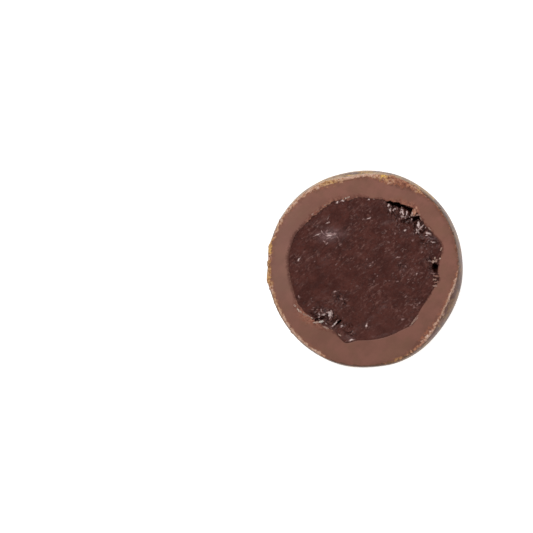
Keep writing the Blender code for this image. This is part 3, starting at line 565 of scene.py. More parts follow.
# ---------------------------------------------------------------- the filling
def fine_relief(x, y):
    """The filling's fine surface: the solid's relief with streaks, torn crags, pits and air gaps."""
    points = flat_points(x, y)
    height = solid_relief(x, y)
    for length, width, rise in ((1.8, 0.34, 0.016), (0.7, 0.18, 0.01)):
        height += rise * streaks_at(x, y, 50, length, width, 3.7 * length)
    height += waves_at(points, FILLING_WAVES)
    rough = smoothstep(nearness(x, y, TORN_PLACES), 0.25, 0.75) * (1 - 0.75 * bell(x, y, *SMOOTHER_TEAR))
    crag = ridges_at(points, 1.0, (2, 9, 4)) * 0.5 + ridges_at(points, 0.45, (6, 1, 7)) * 0.16
    height += rough * (crag - 0.36 + 0.1 * (ridges_at(points, 0.21, (3, 8, 2)) - 0.4))
    ridged = ridges_at(points, 0.55, (3, 3, 3)) - 0.5
    for pit_x, pit_y, radius in PITS:
        height += bell(x, y, pit_x, pit_y, 1.3 * radius) * 0.22 * ridged
    x, y = x + waves_at(points, GAP_WAVES[0]), y + waves_at(points, GAP_WAVES[1])
    for gap_x, gap_y, length, width, depth, turn in AIR_GAPS:
        away = oval(x, y, gap_x, gap_y, length, width, turn)
        height = np.minimum(height, np.where(away < 1, -depth * np.maximum(1 - away, 0) ** 0.3, FAR))
    return np.minimum(height, RELIEF_TOP + 0.15)


def painted_glints_at(x, y):
    """How strongly points are covered by the painted highlights, whose outlines are ragged."""
    points = flat_points(x, y)
    torn = smoothstep(nearness(x, y, TORN_PLACES), 0.2, 0.6)
    x, y = x + waves_at(points, GLINT_WAVES[0]), y + waves_at(points, GLINT_WAVES[1])
    cover = np.zeros_like(x)
    for glint_x, glint_y, length, width, turn, strength in ALL_PAINTED_GLINTS:
        near = np.flatnonzero((np.abs(x - glint_x) < length) & (np.abs(y - glint_y) < length))
        away = oval(x[near], y[near], glint_x, glint_y, length, width, turn)
        strong = (1.2 + 0.2 * torn[near]) * strength**1.4 * np.exp((0.25 * torn[near] - 0.9) * away)
        cover[near] = np.maximum(cover[near], strong)
    return cover


def ganache_shares(points):
    """The shares of torn surface, painted highlights, painted sheen and calm surface at points of the
    filling.
    """
    x, y = points[:, 0], points[:, 1]
    torn = smoothstep(nearness(x, y, TORN_PLACES), 0.2, 0.7) * (1 - 0.8 * bell(x, y, *CLEANER_TEAR))
    torn = np.maximum(torn, 0.95 * nearness(x, y, PITS))
    sheen = np.max([np.exp(-oval(x, y, *patch)) for patch in SHEENS], axis=0)
    return {"torn": torn, "painted_glints": painted_glints_at(x, y), "sheen": sheen, "calm": nearness(x, y, CALM_PLACES)}


def concentric(count):
    """A square grid of points mapped on to a disc of radius 1, its border on to the disc's edge."""
    line = np.linspace(-1, 1, count)
    u, v = np.meshgrid(line, line)
    wide = np.abs(u) > np.abs(v)
    radius = np.where(wide, u, v)
    divisor = np.where(radius == 0, 1, radius)
    angle = np.where(wide, math.pi / 4 * v / divisor, math.pi / 2 - math.pi / 4 * u / divisor)
    return (radius * np.cos(angle)).ravel(), (radius * np.sin(angle)).ravel()


def build_filling():
    u, v = concentric(FILLING_GRID)
    azimuths, reach = np.degrees(np.arctan2(v, u)), np.hypot(u, v)
    wall_top = cut_elevations(azimuths, WALL)
    outline = ball_points(azimuths, wall_top, WALL) - CAVITY_MIDDLE
    outline = np.hypot(outline[:, 0], outline[:, 1]) + 0.03
    mean = outline.mean()
    radius = reach * (mean + (outline - mean) * reach**6)
    x = CAVITY_MIDDLE[0] + radius * np.cos(np.radians(azimuths))
    y = CAVITY_MIDDLE[1] + radius * np.sin(np.radians(azimuths))
    height = fine_relief(x, y) + 0.05 * painted_glints_at(x, y)
    # Close to the wall the filling clings to it, unevenly.
    ragged = np.interp(azimuths % 360, *zip(*RAGGED))
    cling = smoothstep(outline - radius, 0.6, 0.0) * (height > -0.6)
    height = height * (1 - cling) + cling * (-0.13 + 0.1 * ragged * noise_at(flat_points(x, y), 0.45))
    top = np.stack([x, y, CUT_HEIGHT + height], axis=-1)

    numbers = np.arange(FILLING_GRID**2).reshape(FILLING_GRID, FILLING_GRID)
    faces = np.stack([numbers[:-1, :-1], numbers[:-1, 1:], numbers[1:, 1:], numbers[1:, :-1]], axis=-1)
    faces = faces.reshape(-1, 4).tolist()
    border = np.concatenate([numbers[0, :-1], numbers[:-1, -1], numbers[-1, :0:-1], numbers[:0:-1, 0]])
    rows, upper = [top], border.tolist()
    for step in range(1, FILLING_SIDE_ROWS + 1):
        elevations = wall_top[border] - (wall_top[border] + 86) * (step / FILLING_SIDE_ROWS) ** 1.6
        row = ball_points(azimuths[border], elevations, WALL)
        row[:, 2] = np.minimum(row[:, 2], top[border, 2] - 0.01 * step)
        rows.append(row)
        lower = [len(top) + (step - 1) * len(border) + i for i in range(len(border))]
        faces += strip_faces(lower, upper)
        upper = lower
    points = np.concatenate([*rows, CAVITY_BOTTOM])
    faces += fan_faces(len(points) - 1, upper[::-1])

    shares = ganache_shares(points)
    shares["edge"] = np.append(outline - radius, np.zeros(len(points) - len(top)))
    return mesh_object("filling_body", points, faces, shares)


# ---------------------------------------------------------------- crumbs, crags and flakes
def lump(place, size, turn, tilt, raggedness, source, cuts=0, grain=0.0, wave=1.0, detail=1):
    """A ragged lump as in the solids, then divided and roughened; returns its points and faces."""
    bm = bmesh.new()
    bmesh.ops.create_icosphere(bm, subdivisions=detail, radius=0.5)
    for vert in bm.verts:
        vert.co *= 1 + source.uniform(-raggedness, raggedness)
    if cuts:
        bmesh.ops.subdivide_edges(bm, edges=bm.edges[:], cuts=cuts, use_grid_fill=True, smooth=0.35)
        bmesh.ops.triangulate(bm, faces=bm.faces[:])
    placed = Matrix.Rotation(math.radians(turn), 4, "Z") @ Matrix.Rotation(math.radians(tilt), 4, "Y")
    bm.transform(Matrix.Translation(place) @ placed @ Matrix.Diagonal((*size, 1.0)))
    bm.normal_update()
    points = np.array([vert.co for vert in bm.verts])
    normals = np.array([vert.normal for vert in bm.verts])
    rough = noise_at(points, wave) + 0.5 * noise_at(points, wave / 2.3, (3, 3, 1))
    points += normals * (grain * rough)[:, None]
    faces = [[vert.index for vert in face.verts] for face in bm.faces]
    bm.free()
    return points, faces


def join(name, lumps, shares=None, smooth=True):
    """One mesh from several lumps; shares gives named numbers for all their points."""
    faces, start = [], 0
    for points, lump_faces in lumps:
        faces += [tuple(start + i for i in face) for face in lump_faces]
        start += len(points)
    points = np.concatenate([points for points, _ in lumps])
    return mesh_object(name, points, faces, shares(points) if shares else None, smooth)


def spread(lumps, tints):
    """A function for join that gives each lump's points its tint."""
    return lambda points: {"tint": np.repeat(tints, [len(points) for points, _ in lumps])}


def torn_shares(points):
    """The filling's shares at points that stand on its torn surface."""
    shares = ganache_shares(points)
    shares["painted_glints"] = shares["painted_glints"] * smoothstep(noise_at(points, 0.36, (7, 3, 1)), -0.55, 0.0)
    return {**shares, "torn": np.ones(len(points)), "edge": np.ones(len(points))}


def build_crags():
    """The coarse crags of the torn filling."""
    source = random.Random(FLAKE_SEED)
    lumps = []
    for x, y, length, width, height, turn in CRAGS:
        surface = solid_relief(np.array([x]), np.array([y]))[0]
        place, size = (x, y, CUT_HEIGHT + surface - CRAG_SINK * height), (length, width, height)
        lumps.append(lump(place, size, turn, CRAG_TILT, CRAG_RAGGEDNESS, source, 5, 0.12, 0.24))
    return join("torn_crags", lumps, torn_shares)


def build_crests():
    """The sharp small crests that stand on the torn filling, each of three angular pieces."""
    lumps = []
    for x, y, length, width, height, turn in CRESTS:
        surface = max(solid_relief(np.array([x]), np.array([y]))[0], -0.35)
        for part in (-0.28, 0.0, 0.28):
            shift = part * length + draw.uniform(-0.05, 0.05)
            place = (
                x + shift * math.cos(math.radians(turn)) + draw.uniform(-0.06, 0.06),
                y + shift * math.sin(math.radians(turn)) + draw.uniform(-0.06, 0.06),
                CUT_HEIGHT + surface + draw.uniform(-0.02, 0.1),
            )
            size = (0.55 * length, width * draw.uniform(0.6, 1.0), height * draw.uniform(0.6, 1.0))
            turns = (turn + draw.uniform(-25, 25), draw.uniform(-20, 20))
            lumps.append(lump(place, size, *turns, CREST_RAGGEDNESS, draw, detail=2))
    return join("torn_crests", lumps, torn_shares, smooth=False)


def build_chips():
    """Chips of the shell's chocolate that lean from its inner edge over the filling."""
    lumps = []
    for x, y, length, width, turn, _ in CHIPS:
        place, size = (x, y, CUT_HEIGHT - CHIP_SINK), (length, width, CHIP_HEIGHT)
        lumps.append(lump(place, size, turn, CHIP_TILT, CHIP_RAGGEDNESS, draw, 5, 0.1, 0.16))
    return join("shell_chips", lumps, spread(lumps, [chip[-1] for chip in CHIPS]))


def build_flakes():
    """Flakes of the gilded skin along the edge of the cut, and the splinter over the air gap."""
    source = random.Random(FLAKE_SEED)
    lumps = []
    for start, end, count in EDGE_ARCS:
        for step in range(count):
            azimuth = start + (end - start) * (step + source.uniform(*FLAKE_STRAY)) / count
            edge = edge_points(np.array([azimuth]))[0]
            inward = -edge[:2] / np.linalg.norm(edge[:2]) * source.uniform(*FLAKE_INSET)
            size = tuple(source.uniform(*span) for span in (FLAKE_LENGTH, FLAKE_WIDTH, FLAKE_THICKNESS))
            place = (edge[0] + inward[0], edge[1] + inward[1], CUT_HEIGHT - FLAKE_SINK * size[2])
            turn = azimuth + 90 + source.uniform(-FLAKE_TURN, FLAKE_TURN)
            tilt = source.uniform(-FLAKE_TILT, FLAKE_TILT)
            lumps.append(lump(place, size, turn, tilt, FLAKE_RAGGEDNESS, source, 6, 0.06, 0.16))
    x, y, *size, turn = SPLINTER
    place = (x, y, CUT_HEIGHT - SPLINTER_SINK * size[2])
    splinter = lump(place, size, turn, SPLINTER_TILT, FLAKE_RAGGEDNESS, source, 5, 0.06, 0.25)
    return join("edge_flakes", lumps, flake_shares), join("shell_splinter", [splinter])


def build_crumbs():
    """Crumbs of the filling left on it by the knife, but not in its air gaps."""
    lumps, tints = [], []
    spots = [scattered(CRUMBS_REACH) for _ in range(CRUMBS)]
    for (x, y), surface in zip(spots, fine_relief(*np.array(spots).T)):
        length, tint = draw.uniform(0.08, 0.18), draw.uniform(0.0, 0.3)
        if surface < -0.7:
            continue
        place = (x, y, CUT_HEIGHT + surface + 0.01)
        size = (length, length * draw.uniform(0.5, 0.9), 0.45 * length)
        turn = draw.gauss(DRAG_TURN, 30)
        lumps.append(lump(place, size, turn, CRUMB_TILT, CRUMB_RAGGEDNESS, draw, 2, 0.02, 0.1))
        tints.append(tint)
    return join("filling_crumbs", lumps, spread(lumps, tints))


# ---------------------------------------------------------------- materials
class Value:
    """An output of a node. Arithmetic with numbers or other values adds math nodes."""

    def __init__(self, nodes, socket):
        self.nodes, self.socket = nodes, socket

    def __add__(self, other):
        return self.nodes.math("ADD", self, other)

    def __mul__(self, other):
        return self.nodes.math("MULTIPLY", self, other)

    def __sub__(self, other):
        return self.nodes.math("SUBTRACT", self, other)

    def __rsub__(self, other):
        return self.nodes.math("SUBTRACT", other, self)

    def __truediv__(self, other):
        return self.nodes.math("DIVIDE", self, other)


class Nodes:
    """Short calls that add the nodes of a material or world and return a value."""

    def __init__(self, owner):
        owner.use_nodes = True
        self.owner, self.tree = owner, owner.node_tree
        self.tree.nodes.clear()

    def add(self, kind, inputs, **settings):
        """Adds a node; each input is linked to a value or set to a number, a vector or a colour."""
        node = self.tree.nodes.new(kind)
        for key, value in settings.items():
            setattr(node, key, value)
        for key, value in inputs.items():
            if isinstance(value, Value):
                self.tree.links.new(value.socket, node.inputs[key])
            else:
                colour = node.inputs[key].type == "RGBA"
                node.inputs[key].default_value = (*value, 1.0) if colour else value
        return node

    def get(self, kind, inputs, output=0, **settings):
        return Value(self, self.add(kind, inputs, **settings).outputs[output])

    def math(self, operation, *values, clamp=False):
        return self.get("ShaderNodeMath", dict(enumerate(values)), operation=operation, use_clamp=clamp)

    def vector(self, operation, inputs):
        return self.get("ShaderNodeVectorMath", inputs, operation=operation)

    def split(self, vector):
        return [Value(self, output) for output in self.add("ShaderNodeSeparateXYZ", {0: vector}).outputs]

    def mix(self, share, first, second):
        """Mixes two colours."""
        return self.get("ShaderNodeMix", {0: share, 6: first, 7: second}, 2, data_type="RGBA")

    def blend(self, share, first, second):
        """Mixes two numbers."""
        return self.get("ShaderNodeMix", {0: share, 2: first, 3: second}, data_type="FLOAT")

    def smooth(self, value, low, high, to_low=0.0, to_high=1.0):
        inputs = dict(enumerate((value, low, high, to_low, to_high)))
        return self.get("ShaderNodeMapRange", inputs, interpolation_type="SMOOTHSTEP")

    def noise(self, scale, detail=3, roughness=0.6, vector=None, output=0):
        inputs = {"Vector": vector or self.place, "Scale": scale, "Detail": detail, "Roughness": roughness}
        return self.get("ShaderNodeTexNoise", inputs, output)

    def cells(self, scale, vector):
        """The distance to the border of the nearest cell."""
        inputs = {"Vector": vector, "Scale": scale}
        return self.get("ShaderNodeTexVoronoi", inputs, "Distance", feature="DISTANCE_TO_EDGE")

    def warped(self, amount, scale, vector=None):
        """The place, moved about by noise."""
        start = vector or self.place
        colour = self.noise(scale, 2, 0.5, start, "Color")
        centred = self.vector("SUBTRACT", {0: colour, 1: (0.5, 0.5, 0.5)})
        return self.vector("ADD", {0: start, 1: self.vector("SCALE", {0: centred, 3: amount})})

    def stretched(self, turn, stretch):
        """The place, turned about Z by degrees and squeezed along the new X axis."""
        turned = self.get("ShaderNodeMapping", {0: self.place, "Rotation": (0.0, 0.0, math.radians(-turn))})
        return self.vector("MULTIPLY", {0: turned, 1: (1 / stretch, 1.0, 1.0)})

    def share(self, name):
        return self.get("ShaderNodeAttribute", {}, "Fac", attribute_name=name)

    def bump(self, height, depth, strength, normal=None):
        """A bump as deep as given in millimetres."""
        inputs = {"Height": height, "Distance": depth * MM, "Strength": strength}
        return self.get("ShaderNodeBump", {**inputs, "Normal": normal} if normal else inputs)

    def surface(self, shader):
        self.add("ShaderNodeOutputMaterial", {"Surface": shader})
        return self.owner

    def principled(self, **inputs):
        named = {key.replace("_", " "): value for key, value in inputs.items()}
        return self.get("ShaderNodeBsdfPrincipled", named)


def material_nodes(name):
    """The nodes of a new material, with the place in millimetres."""
    n = Nodes(bpy.data.materials.new(name))
    n.place = n.vector("SCALE", {0: n.get("ShaderNodeTexCoord", {}, "Object"), 3: 1 / MM})
    return n


# Colours: each pair goes from the darker to the lighter
CUT_CHOCOLATE = (0.205, 0.0865, 0.0615), (0.25, 0.1035, 0.0755)
# The last two are painted shade at the bottom of the cut face and painted light at its left
GREENISH_BROWN, BOTTOM_SHADE, LEFT_PAINTED_LIGHT = (0.203, 0.098, 0.061), (0.05, 0.024, 0.012), (0.5, 0.34, 0.32)
BARE_CHOCOLATE = (0.27, 0.105, 0.064), (0.56, 0.27, 0.175)
# The colours of the palest chips are a painted highlight
CHIP, CHIP_PAINTED_HIGHLIGHT = (0.215, 0.088, 0.06), ((0.6, 0.44, 0.36), (0.66, 0.6, 0.54))
GLAZE = (0.08, 0.033, 0.024), (0.122, 0.056, 0.043)
GOLD = (0.54, 0.29, 0.06), (0.84, 0.55, 0.17)
THICK_LUSTRE, OVERHANG_SHADE = (0.6, 0.43, 0.3), (0.12, 0.08, 0.06)
SMEARED = (0.12, 0.056, 0.036), (0.4, 0.17, 0.09)
SMEARED_PALE, SMEARED_PINK = (0.57, 0.36, 0.26), (0.74, 0.54, 0.47)
SMEARED_INNER, SMEARED_EDGE = (0.21, 0.07, 0.036), (0.105, 0.062, 0.047)
RUST = (0.22, 0.07, 0.042), (0.42, 0.165, 0.095)
GILT, GILT_SHADE = ((0.62, 0.35, 0.125), (0.9, 0.56, 0.11)), (0.27, 0.115, 0.045)
SCRAPED = (0.148, 0.058, 0.04), (0.4, 0.135, 0.06)
WIPED_DARK = (0.092, 0.03, 0.022), (0.24, 0.118, 0.08)
WIPED_RUDDY = (0.25, 0.085, 0.054), (0.4, 0.18, 0.115)
GANACHE = (0.05, 0.0132, 0.01), (0.088, 0.0262, 0.0198)
# Painted shade: in small pockets of the filling, and in a thin ring round its painted highlights
GANACHE_POCKET_SHADE, GANACHE_PAINTED_SHADE = (0.03, 0.009, 0.007), (0.03, 0.0085, 0.0065)
GANACHE_PALER, GANACHE_AT_WALL = (0.14, 0.055, 0.043), (0.135, 0.055, 0.04)
# Painted highlights on the knife's streaks and dots
STREAK_HIGHLIGHT, DOT_HIGHLIGHT = (0.2, 0.095, 0.079), (0.22, 0.12, 0.105)
# From near-black painted shade of the torn filling's crevices to its red-brown streaks
TORN_SHADE_AND_GANACHE = (0.03, 0.009, 0.0085), (0.135, 0.05, 0.038)
SHEEN = (0.255, 0.15, 0.15), (0.46, 0.34, 0.33)
# The colours of the painted highlights on the filling
PAINTED_GLINT_COLOURS = (0.4, 0.235, 0.214), (0.7, 0.56, 0.53)
CRUMB = (0.07, 0.024, 0.018), (0.22, 0.135, 0.118)
FLOOR_WHITE = (0.84, 0.84, 0.84), (0.86, 0.86, 0.86)


def lustre(n):
    """The share of gold lustre over brown glazed chocolate: veins round cells, clouds and specks."""
    loose = n.warped(1.6, 0.45)
    looser = n.warped(0.55, 1.6, loose)
    uneven = n.noise(0.8)
    veins = n.smooth(n.cells(0.46, looser) + uneven * -0.3 + 0.15, 0.13, 0.01)
    fine_veins = n.smooth(n.cells(0.95, looser), 0.14, 0.02)
    thin = n.smooth(n.noise(0.33), 0.36, 0.58)
    clouds = n.smooth(n.noise(0.24, 4, 0.6, loose), 0.5, 0.64)
    specks = n.smooth(n.noise(4.5, 3, 0.65), 0.44, 0.6)
    sparse = n.smooth(n.noise(2.8, 4, 0.7), 0.56, 0.66)
    gold = n.math("MAXIMUM", n.math("MAXIMUM", veins * thin, fine_veins * clouds), clouds * 0.78)
    return n.math("MAXIMUM", gold * n.blend(0.6, 1.0, specks), sparse * 0.45, clamp=True)


def gilded_skin(n, crumbs):
    """The outside's shader; crumbs is their colour where they hang over from the cut."""
    inset, over = n.share("inset"), n.share("over")
    gold = lustre(n) * (1 - n.share("rubbed") * 0.8)
    # The lustre is rubbed off right below the cut, but thick and pale where crumbs hang over.
    gold = gold * n.smooth(over * -3 + n.smooth(inset, -1.1, -0.1), 0, 1, 1, 0.15)
    loose = n.noise(0.55, 4, 0.6) * 3.6 - 1.8
    thick = n.smooth(inset / (over * 1.8 + 0.02) + loose, -1.6, -0.5)
    gold = n.math("MAXIMUM", gold, thick * n.smooth(n.noise(3.5, 4, 0.7), 0.4, 0.56, 0.45, 0.9))
    brown = n.mix(n.smooth(n.noise(0.9, 3, 0.5), 0.35, 0.65), *GLAZE)
    yellow = n.mix(n.smooth(n.noise(1.4, 3, 0.5), 0.35, 0.65), *GOLD)
    colour = n.mix(gold, brown, n.mix(thick, yellow, THICK_LUSTRE))
    hanging = n.smooth(inset / (over + 0.02) + n.noise(1.6, 4, 0.65) * 2.4 - 1.2, -1.15, -0.55)
    uneven = n.bump(n.noise(1.1, 3, 0.5), 0.05, 0.6)
    return n.principled(
        Base_Color=n.mix(hanging, colour, n.mix(0.2, crumbs, OVERHANG_SHADE)),
        Metallic=gold * 0.8 * (1 - hanging),
        Roughness=n.blend(gold, 0.3, 0.32),
        Specular_IOR_Level=0.04,
        Specular_Tint=(0.6, 0.54, 0.5),
        Normal=n.bump(n.noise(7), 0.02, 0.6, uneven),
    )


def cut_chocolate(n):
    """Colour and normal of the milk chocolate where the knife went through it."""
    mottled = n.smooth(n.noise(0.3, 4, 0.6), 0.3, 0.7)
    streaks = n.noise(2.2, 3, 0.5, n.stretched(50, 6))
    tone = n.blend(0.25, n.blend(0.35, mottled, streaks), n.noise(3, 4, 0.7))
    colour = n.mix(n.smooth(tone, 0.25, 0.75), *CUT_CHOCOLATE)
    hue = n.smooth(n.noise(0.45, 3, 0.6, n.warped(1, 0.5)), 0.42, 0.66)
    colour = n.mix(hue * 0.45, colour, GREENISH_BROWN)
    # Painted shade: the cut face is a little darker towards the bottom; painted light: paler at its left.
    east, north, _ = n.split(n.place)
    colour = n.mix(n.smooth(north, 2, -11, 0, 0.16), colour, BOTTOM_SHADE)
    western = n.smooth(east, -5, -12, 0, 0.06) * n.smooth(north, -8, -2)
    colour = n.mix(western, colour, LEFT_PAINTED_LIGHT)
    return colour, n.bump(streaks, 0.016, 0.4, n.bump(n.noise(9), 0.01, 0.5))


def smeared_skin(n):
    """Colour, height and share of the gilded skin crumbled over the edge of the cut."""
    inset, smear, pale, gold = n.share("inset"), n.share("smear"), n.share("pale"), n.share("gold")
    grain = n.noise(2.8, 4, 0.65, n.warped(0.4, 1.2))
    share = inset / (smear * n.smooth(n.noise(1.3, 4, 0.65), 0.3, 0.68, 0.4, 1.5))
    light = grain + pale * 0.22 - 0.17
    colour = n.mix(n.smooth(light, 0.36, 0.48), *SMEARED)
    colour = n.mix(n.smooth(light, 0.48, 0.62), colour, SMEARED_PALE)
    pink = n.smooth(n.noise(3.1, 3, 0.6, n.warped(0.3, 1)), 0.54, 0.66)
    colour = n.mix(pink * pale * 0.6, colour, SMEARED_PINK)
    rusty = n.share("red") * 0.25 + n.noise(1.7)
    colour = n.mix(n.smooth(rusty, 0.66, 0.78, 0, 0.75), colour, n.mix(n.smooth(grain, 0.42, 0.58), *RUST))
    golden = n.math("MULTIPLY", gold, n.smooth(n.noise(0.9), 0.36, 0.56), clamp=True)
    gilt = n.mix(n.smooth(gold, 1, 1.5), *GILT)
    colour = n.mix(golden, colour, n.mix(n.smooth(grain, 0.4, 0.56), GILT_SHADE, gilt))
    inner = n.smooth(share + grain * 1.2 - 0.6, 0.6, 1.05)
    colour = n.mix(inner * 0.8, colour, SMEARED_INNER)
    # The very edge stays dark where no crumbs hang over it.
    outer = inset + n.share("over") + grain * 0.3 - 0.15
    colour = n.mix(n.smooth(outer, 0.2, 0.04, 0, 0.5), colour, SMEARED_EDGE)
    return colour, grain, share


def shell_material():
    n = material_nodes("milk_chocolate_and_gold")
    face_colour, face_normal = cut_chocolate(n)
    smear_colour, grain, share = smeared_skin(n)
    # Behind the smear the chocolate is scraped red-brown.
    coarse = n.noise(1.5, 4, 0.65, n.warped(0.5, 0.8))
    behind = n.share("inset") - n.share("smear") * 0.9
    scraped = n.smooth(behind + coarse * 1.6 - 0.8, 0.5, 0.1) * n.share("red") * 0.85
    patchy = n.share("pale") * 0.1 + n.blend(0.5, coarse, n.noise(2.4))
    face_colour = n.mix(scraped, face_colour, n.mix(n.smooth(patchy, 0.56, 0.68), *SCRAPED))
    # At the wall the filling's colour is wiped over it.
    speckle = n.noise(3.6, 4, 0.65)
    wiped = n.smooth(n.share("wall") + speckle * 1.8 - 0.9, 1.2, 0.2)
    dark = n.mix(n.smooth(speckle, 0.52, 0.66), *WIPED_DARK)
    ruddy = n.share("ruddy") * n.smooth(coarse, 0.36, 0.56, 0.3, 1)
    wiped_colour = n.mix(ruddy, dark, n.mix(n.smooth(speckle, 0.44, 0.6), *WIPED_RUDDY))
    face_colour = n.mix(wiped * 0.85, face_colour, wiped_colour)
    smeared = n.smooth(share, 1.14, 0.8)
    face = n.principled(
        Base_Color=n.mix(smeared, face_colour, smear_colour),
        Roughness=n.blend(smeared, 0.5, 0.4),
        Specular_IOR_Level=0.25,
        Normal=n.bump(smeared * grain, 0.07, 0.7, face_normal),
    )
    over_edge = n.smooth(n.share("skin") + (grain - 0.5) * 0.9, 0.35, 0.65)
    return n.surface(n.get("ShaderNodeMixShader", {0: over_edge, 1: face, 2: gilded_skin(n, smear_colour)}))


def ganache_material(name, specular):
    n = material_nodes(name)
    torn, sheen, painted_glints = n.share("torn"), n.share("sheen"), n.share("painted_glints")
    _, north, _ = n.split(n.place)
    colour = n.mix(n.smooth(n.noise(0.55, 5, 0.65), 0.3, 0.7), *GANACHE)
    colour = n.mix(n.smooth(north, -2, -9, 0, 0.12), colour, GANACHE_PALER)
    # Painted shade of small pockets, spread at random
    colour = n.mix(n.smooth(n.noise(3.4, 3, 0.65), 0.47, 0.3, 0, 0.5), colour, GANACHE_POCKET_SHADE)
    # Streaks and dots that the knife left, with painted highlights on them, fewer where it is calm
    streaks = n.noise(3, 3, 0.6, n.stretched(44, 2.2))
    textured = n.smooth(n.noise(0.42, 3, 0.6, n.warped(1, 0.6)), 0.4, 0.6, 0.25, 1)
    textured = textured * n.smooth(n.share("calm"), 0.1, 0.7, 1, 0.25)
    colour = n.mix(textured * n.smooth(streaks, 0.52, 0.72, 0, 0.6), colour, STREAK_HIGHLIGHT)
    dotted = n.smooth(n.noise(3.4, 3, 0.6, n.stretched(35, 1.8)), 0.54, 0.72, 0, 0.6)
    colour = n.mix(textured * dotted, colour, DOT_HIGHLIGHT)
    # The painted sheen and its painted glints
    patchy = n.smooth(n.noise(1.3, 4, 0.6, n.stretched(20, 1.6)), 0.34, 0.62, 0.35, 0.95)
    colour = n.mix(sheen * patchy, colour, SHEEN[0])
    glints = n.smooth(n.noise(2.8, 3, 0.6, n.stretched(12, 2.2)), 0.5, 0.66, 0, 0.9)
    colour = n.mix(sheen * sheen * glints, colour, SHEEN[1])
    # The torn filling: red-brown streaks, with near-black painted shade of crevices between them
    tear = n.noise(2.6, 4, 0.65, n.stretched(TEAR_TURN, 2.2))
    torn_colour = n.mix(n.smooth(tear, 0.4, 0.62), *TORN_SHADE_AND_GANACHE)
    colour = n.mix(torn * n.blend(sheen, 0.75, 0.3), colour, torn_colour)
    # The painted highlights: pale glints, ragged and broken up, with a thin painted shade round them
    ragged = n.noise(4.6, 3, 0.65, n.stretched(35, 1.5)) - 0.5
    ragged = ragged * (1.6 - n.math("MINIMUM", painted_glints, 1.0))
    pale = n.smooth(painted_glints + ragged, 0.1, 0.9)
    pale = n.math("MULTIPLY", pale, painted_glints * 0.65 + 0.35, clamp=True)
    broken = n.smooth(n.noise(4, 3, 0.6, n.stretched(TEAR_TURN + 10, 2.4)), 0.36, 0.54, 0.5, 1.15)
    broken = n.blend(torn * n.smooth(painted_glints, 0.8, 1.3, 1, 0.3), 1, broken)
    pale = n.math("MULTIPLY", pale, broken, clamp=True)
    # Painted shade: a thin dark ring round the painted highlights
    painted_shade_ring = n.smooth(painted_glints, 0.015, 0.1) * n.smooth(painted_glints, 0.4, 0.12, 0, 0.5)
    colour = n.mix(painted_shade_ring, colour, GANACHE_PAINTED_SHADE)
    colour = n.mix(pale, colour, n.mix(n.smooth(painted_glints, 0.45, 1.05), *PAINTED_GLINT_COLOURS))
    at_wall = n.smooth(n.share("edge") + tear * 0.3 - 0.15, 0.16, 0, 0, 0.45)
    fine = n.bump(n.noise(4.5, 4, 0.65), 0.055, 0.9, n.bump(pale, 0.05, 0.7))
    shader = n.principled(
        Base_Color=n.mix(at_wall, colour, GANACHE_AT_WALL),
        Roughness=n.blend(torn, 0.36, 0.22),
        Specular_IOR_Level=specular,
        Normal=n.bump(tear * torn, 0.1, 0.8, n.bump(streaks, 0.02, 0.6, fine)),
    )
    return n.surface(shader)


def chip_material():
    n = material_nodes("pale_chips")
    tint = n.share("tint")
    pale = tint * n.smooth(n.noise(2.8, 3, 0.65), 0.34, 0.6, 0.3, 1.1)
    # The palest chips turn whitish: a painted highlight
    colour = n.mix(pale, CHIP, n.mix(n.smooth(tint, 0.8, 1), *CHIP_PAINTED_HIGHLIGHT))
    normal = n.bump(n.noise(6), 0.04, 0.7)
    return n.surface(n.principled(Base_Color=colour, Roughness=0.38, Normal=normal))


def crumb_material():
    n = material_nodes("filling_crumbs")
    normal = n.bump(n.noise(9, 2, 0.5), 0.03, 0.6)
    return n.surface(n.principled(Base_Color=n.mix(n.share("tint"), *CRUMB), Roughness=0.32, Normal=normal))


def flake_material():
    n = material_nodes("gold_flakes")
    colour, grain, _ = smeared_skin(n)
    normal = n.bump(grain, 0.06, 0.7, n.bump(n.noise(7), 0.04, 0.7))
    return n.surface(n.principled(Base_Color=colour, Roughness=0.4, Specular_IOR_Level=0.3, Normal=normal))


def splinter_material():
    n = material_nodes("bare_chocolate")
    colour = n.mix(n.smooth(n.noise(2.6, 4, 0.65), 0.4, 0.56), *BARE_CHOCOLATE)
    normal = n.bump(n.noise(5, 4, 0.65), 0.08, 0.9)
    return n.surface(n.principled(Base_Color=colour, Roughness=0.4, Normal=normal))


def floor_material():
    n = material_nodes("white_floor")
    mottled = n.mix(n.noise(0.02, 2, 0.5), *FLOOR_WHITE)
    glow = {"Emission_Color": (1, 1, 1), "Emission_Strength": 0.6}
    return n.surface(n.principled(Base_Color=mottled, Roughness=0.7, **glow))


# ---------------------------------------------------------------- the pieces
def place_piece(piece, material, replaced=None):
    piece.data.materials.append(material)
    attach(piece, "root")
    if replaced:
        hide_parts(replaced)


flakes, splinter = build_flakes()
torn_ganache = ganache_material("torn_ganache", 0.27)
place_piece(build_shell(), shell_material(), "chocolate_shell")
place_piece(build_filling(), ganache_material("cut_ganache", 0.14), "ganache_filling")
place_piece(build_crags(), torn_ganache)
place_piece(build_crests(), torn_ganache)
place_piece(build_chips(), chip_material())
place_piece(flakes, flake_material())
place_piece(splinter, splinter_material())
place_piece(build_crumbs(), crumb_material())

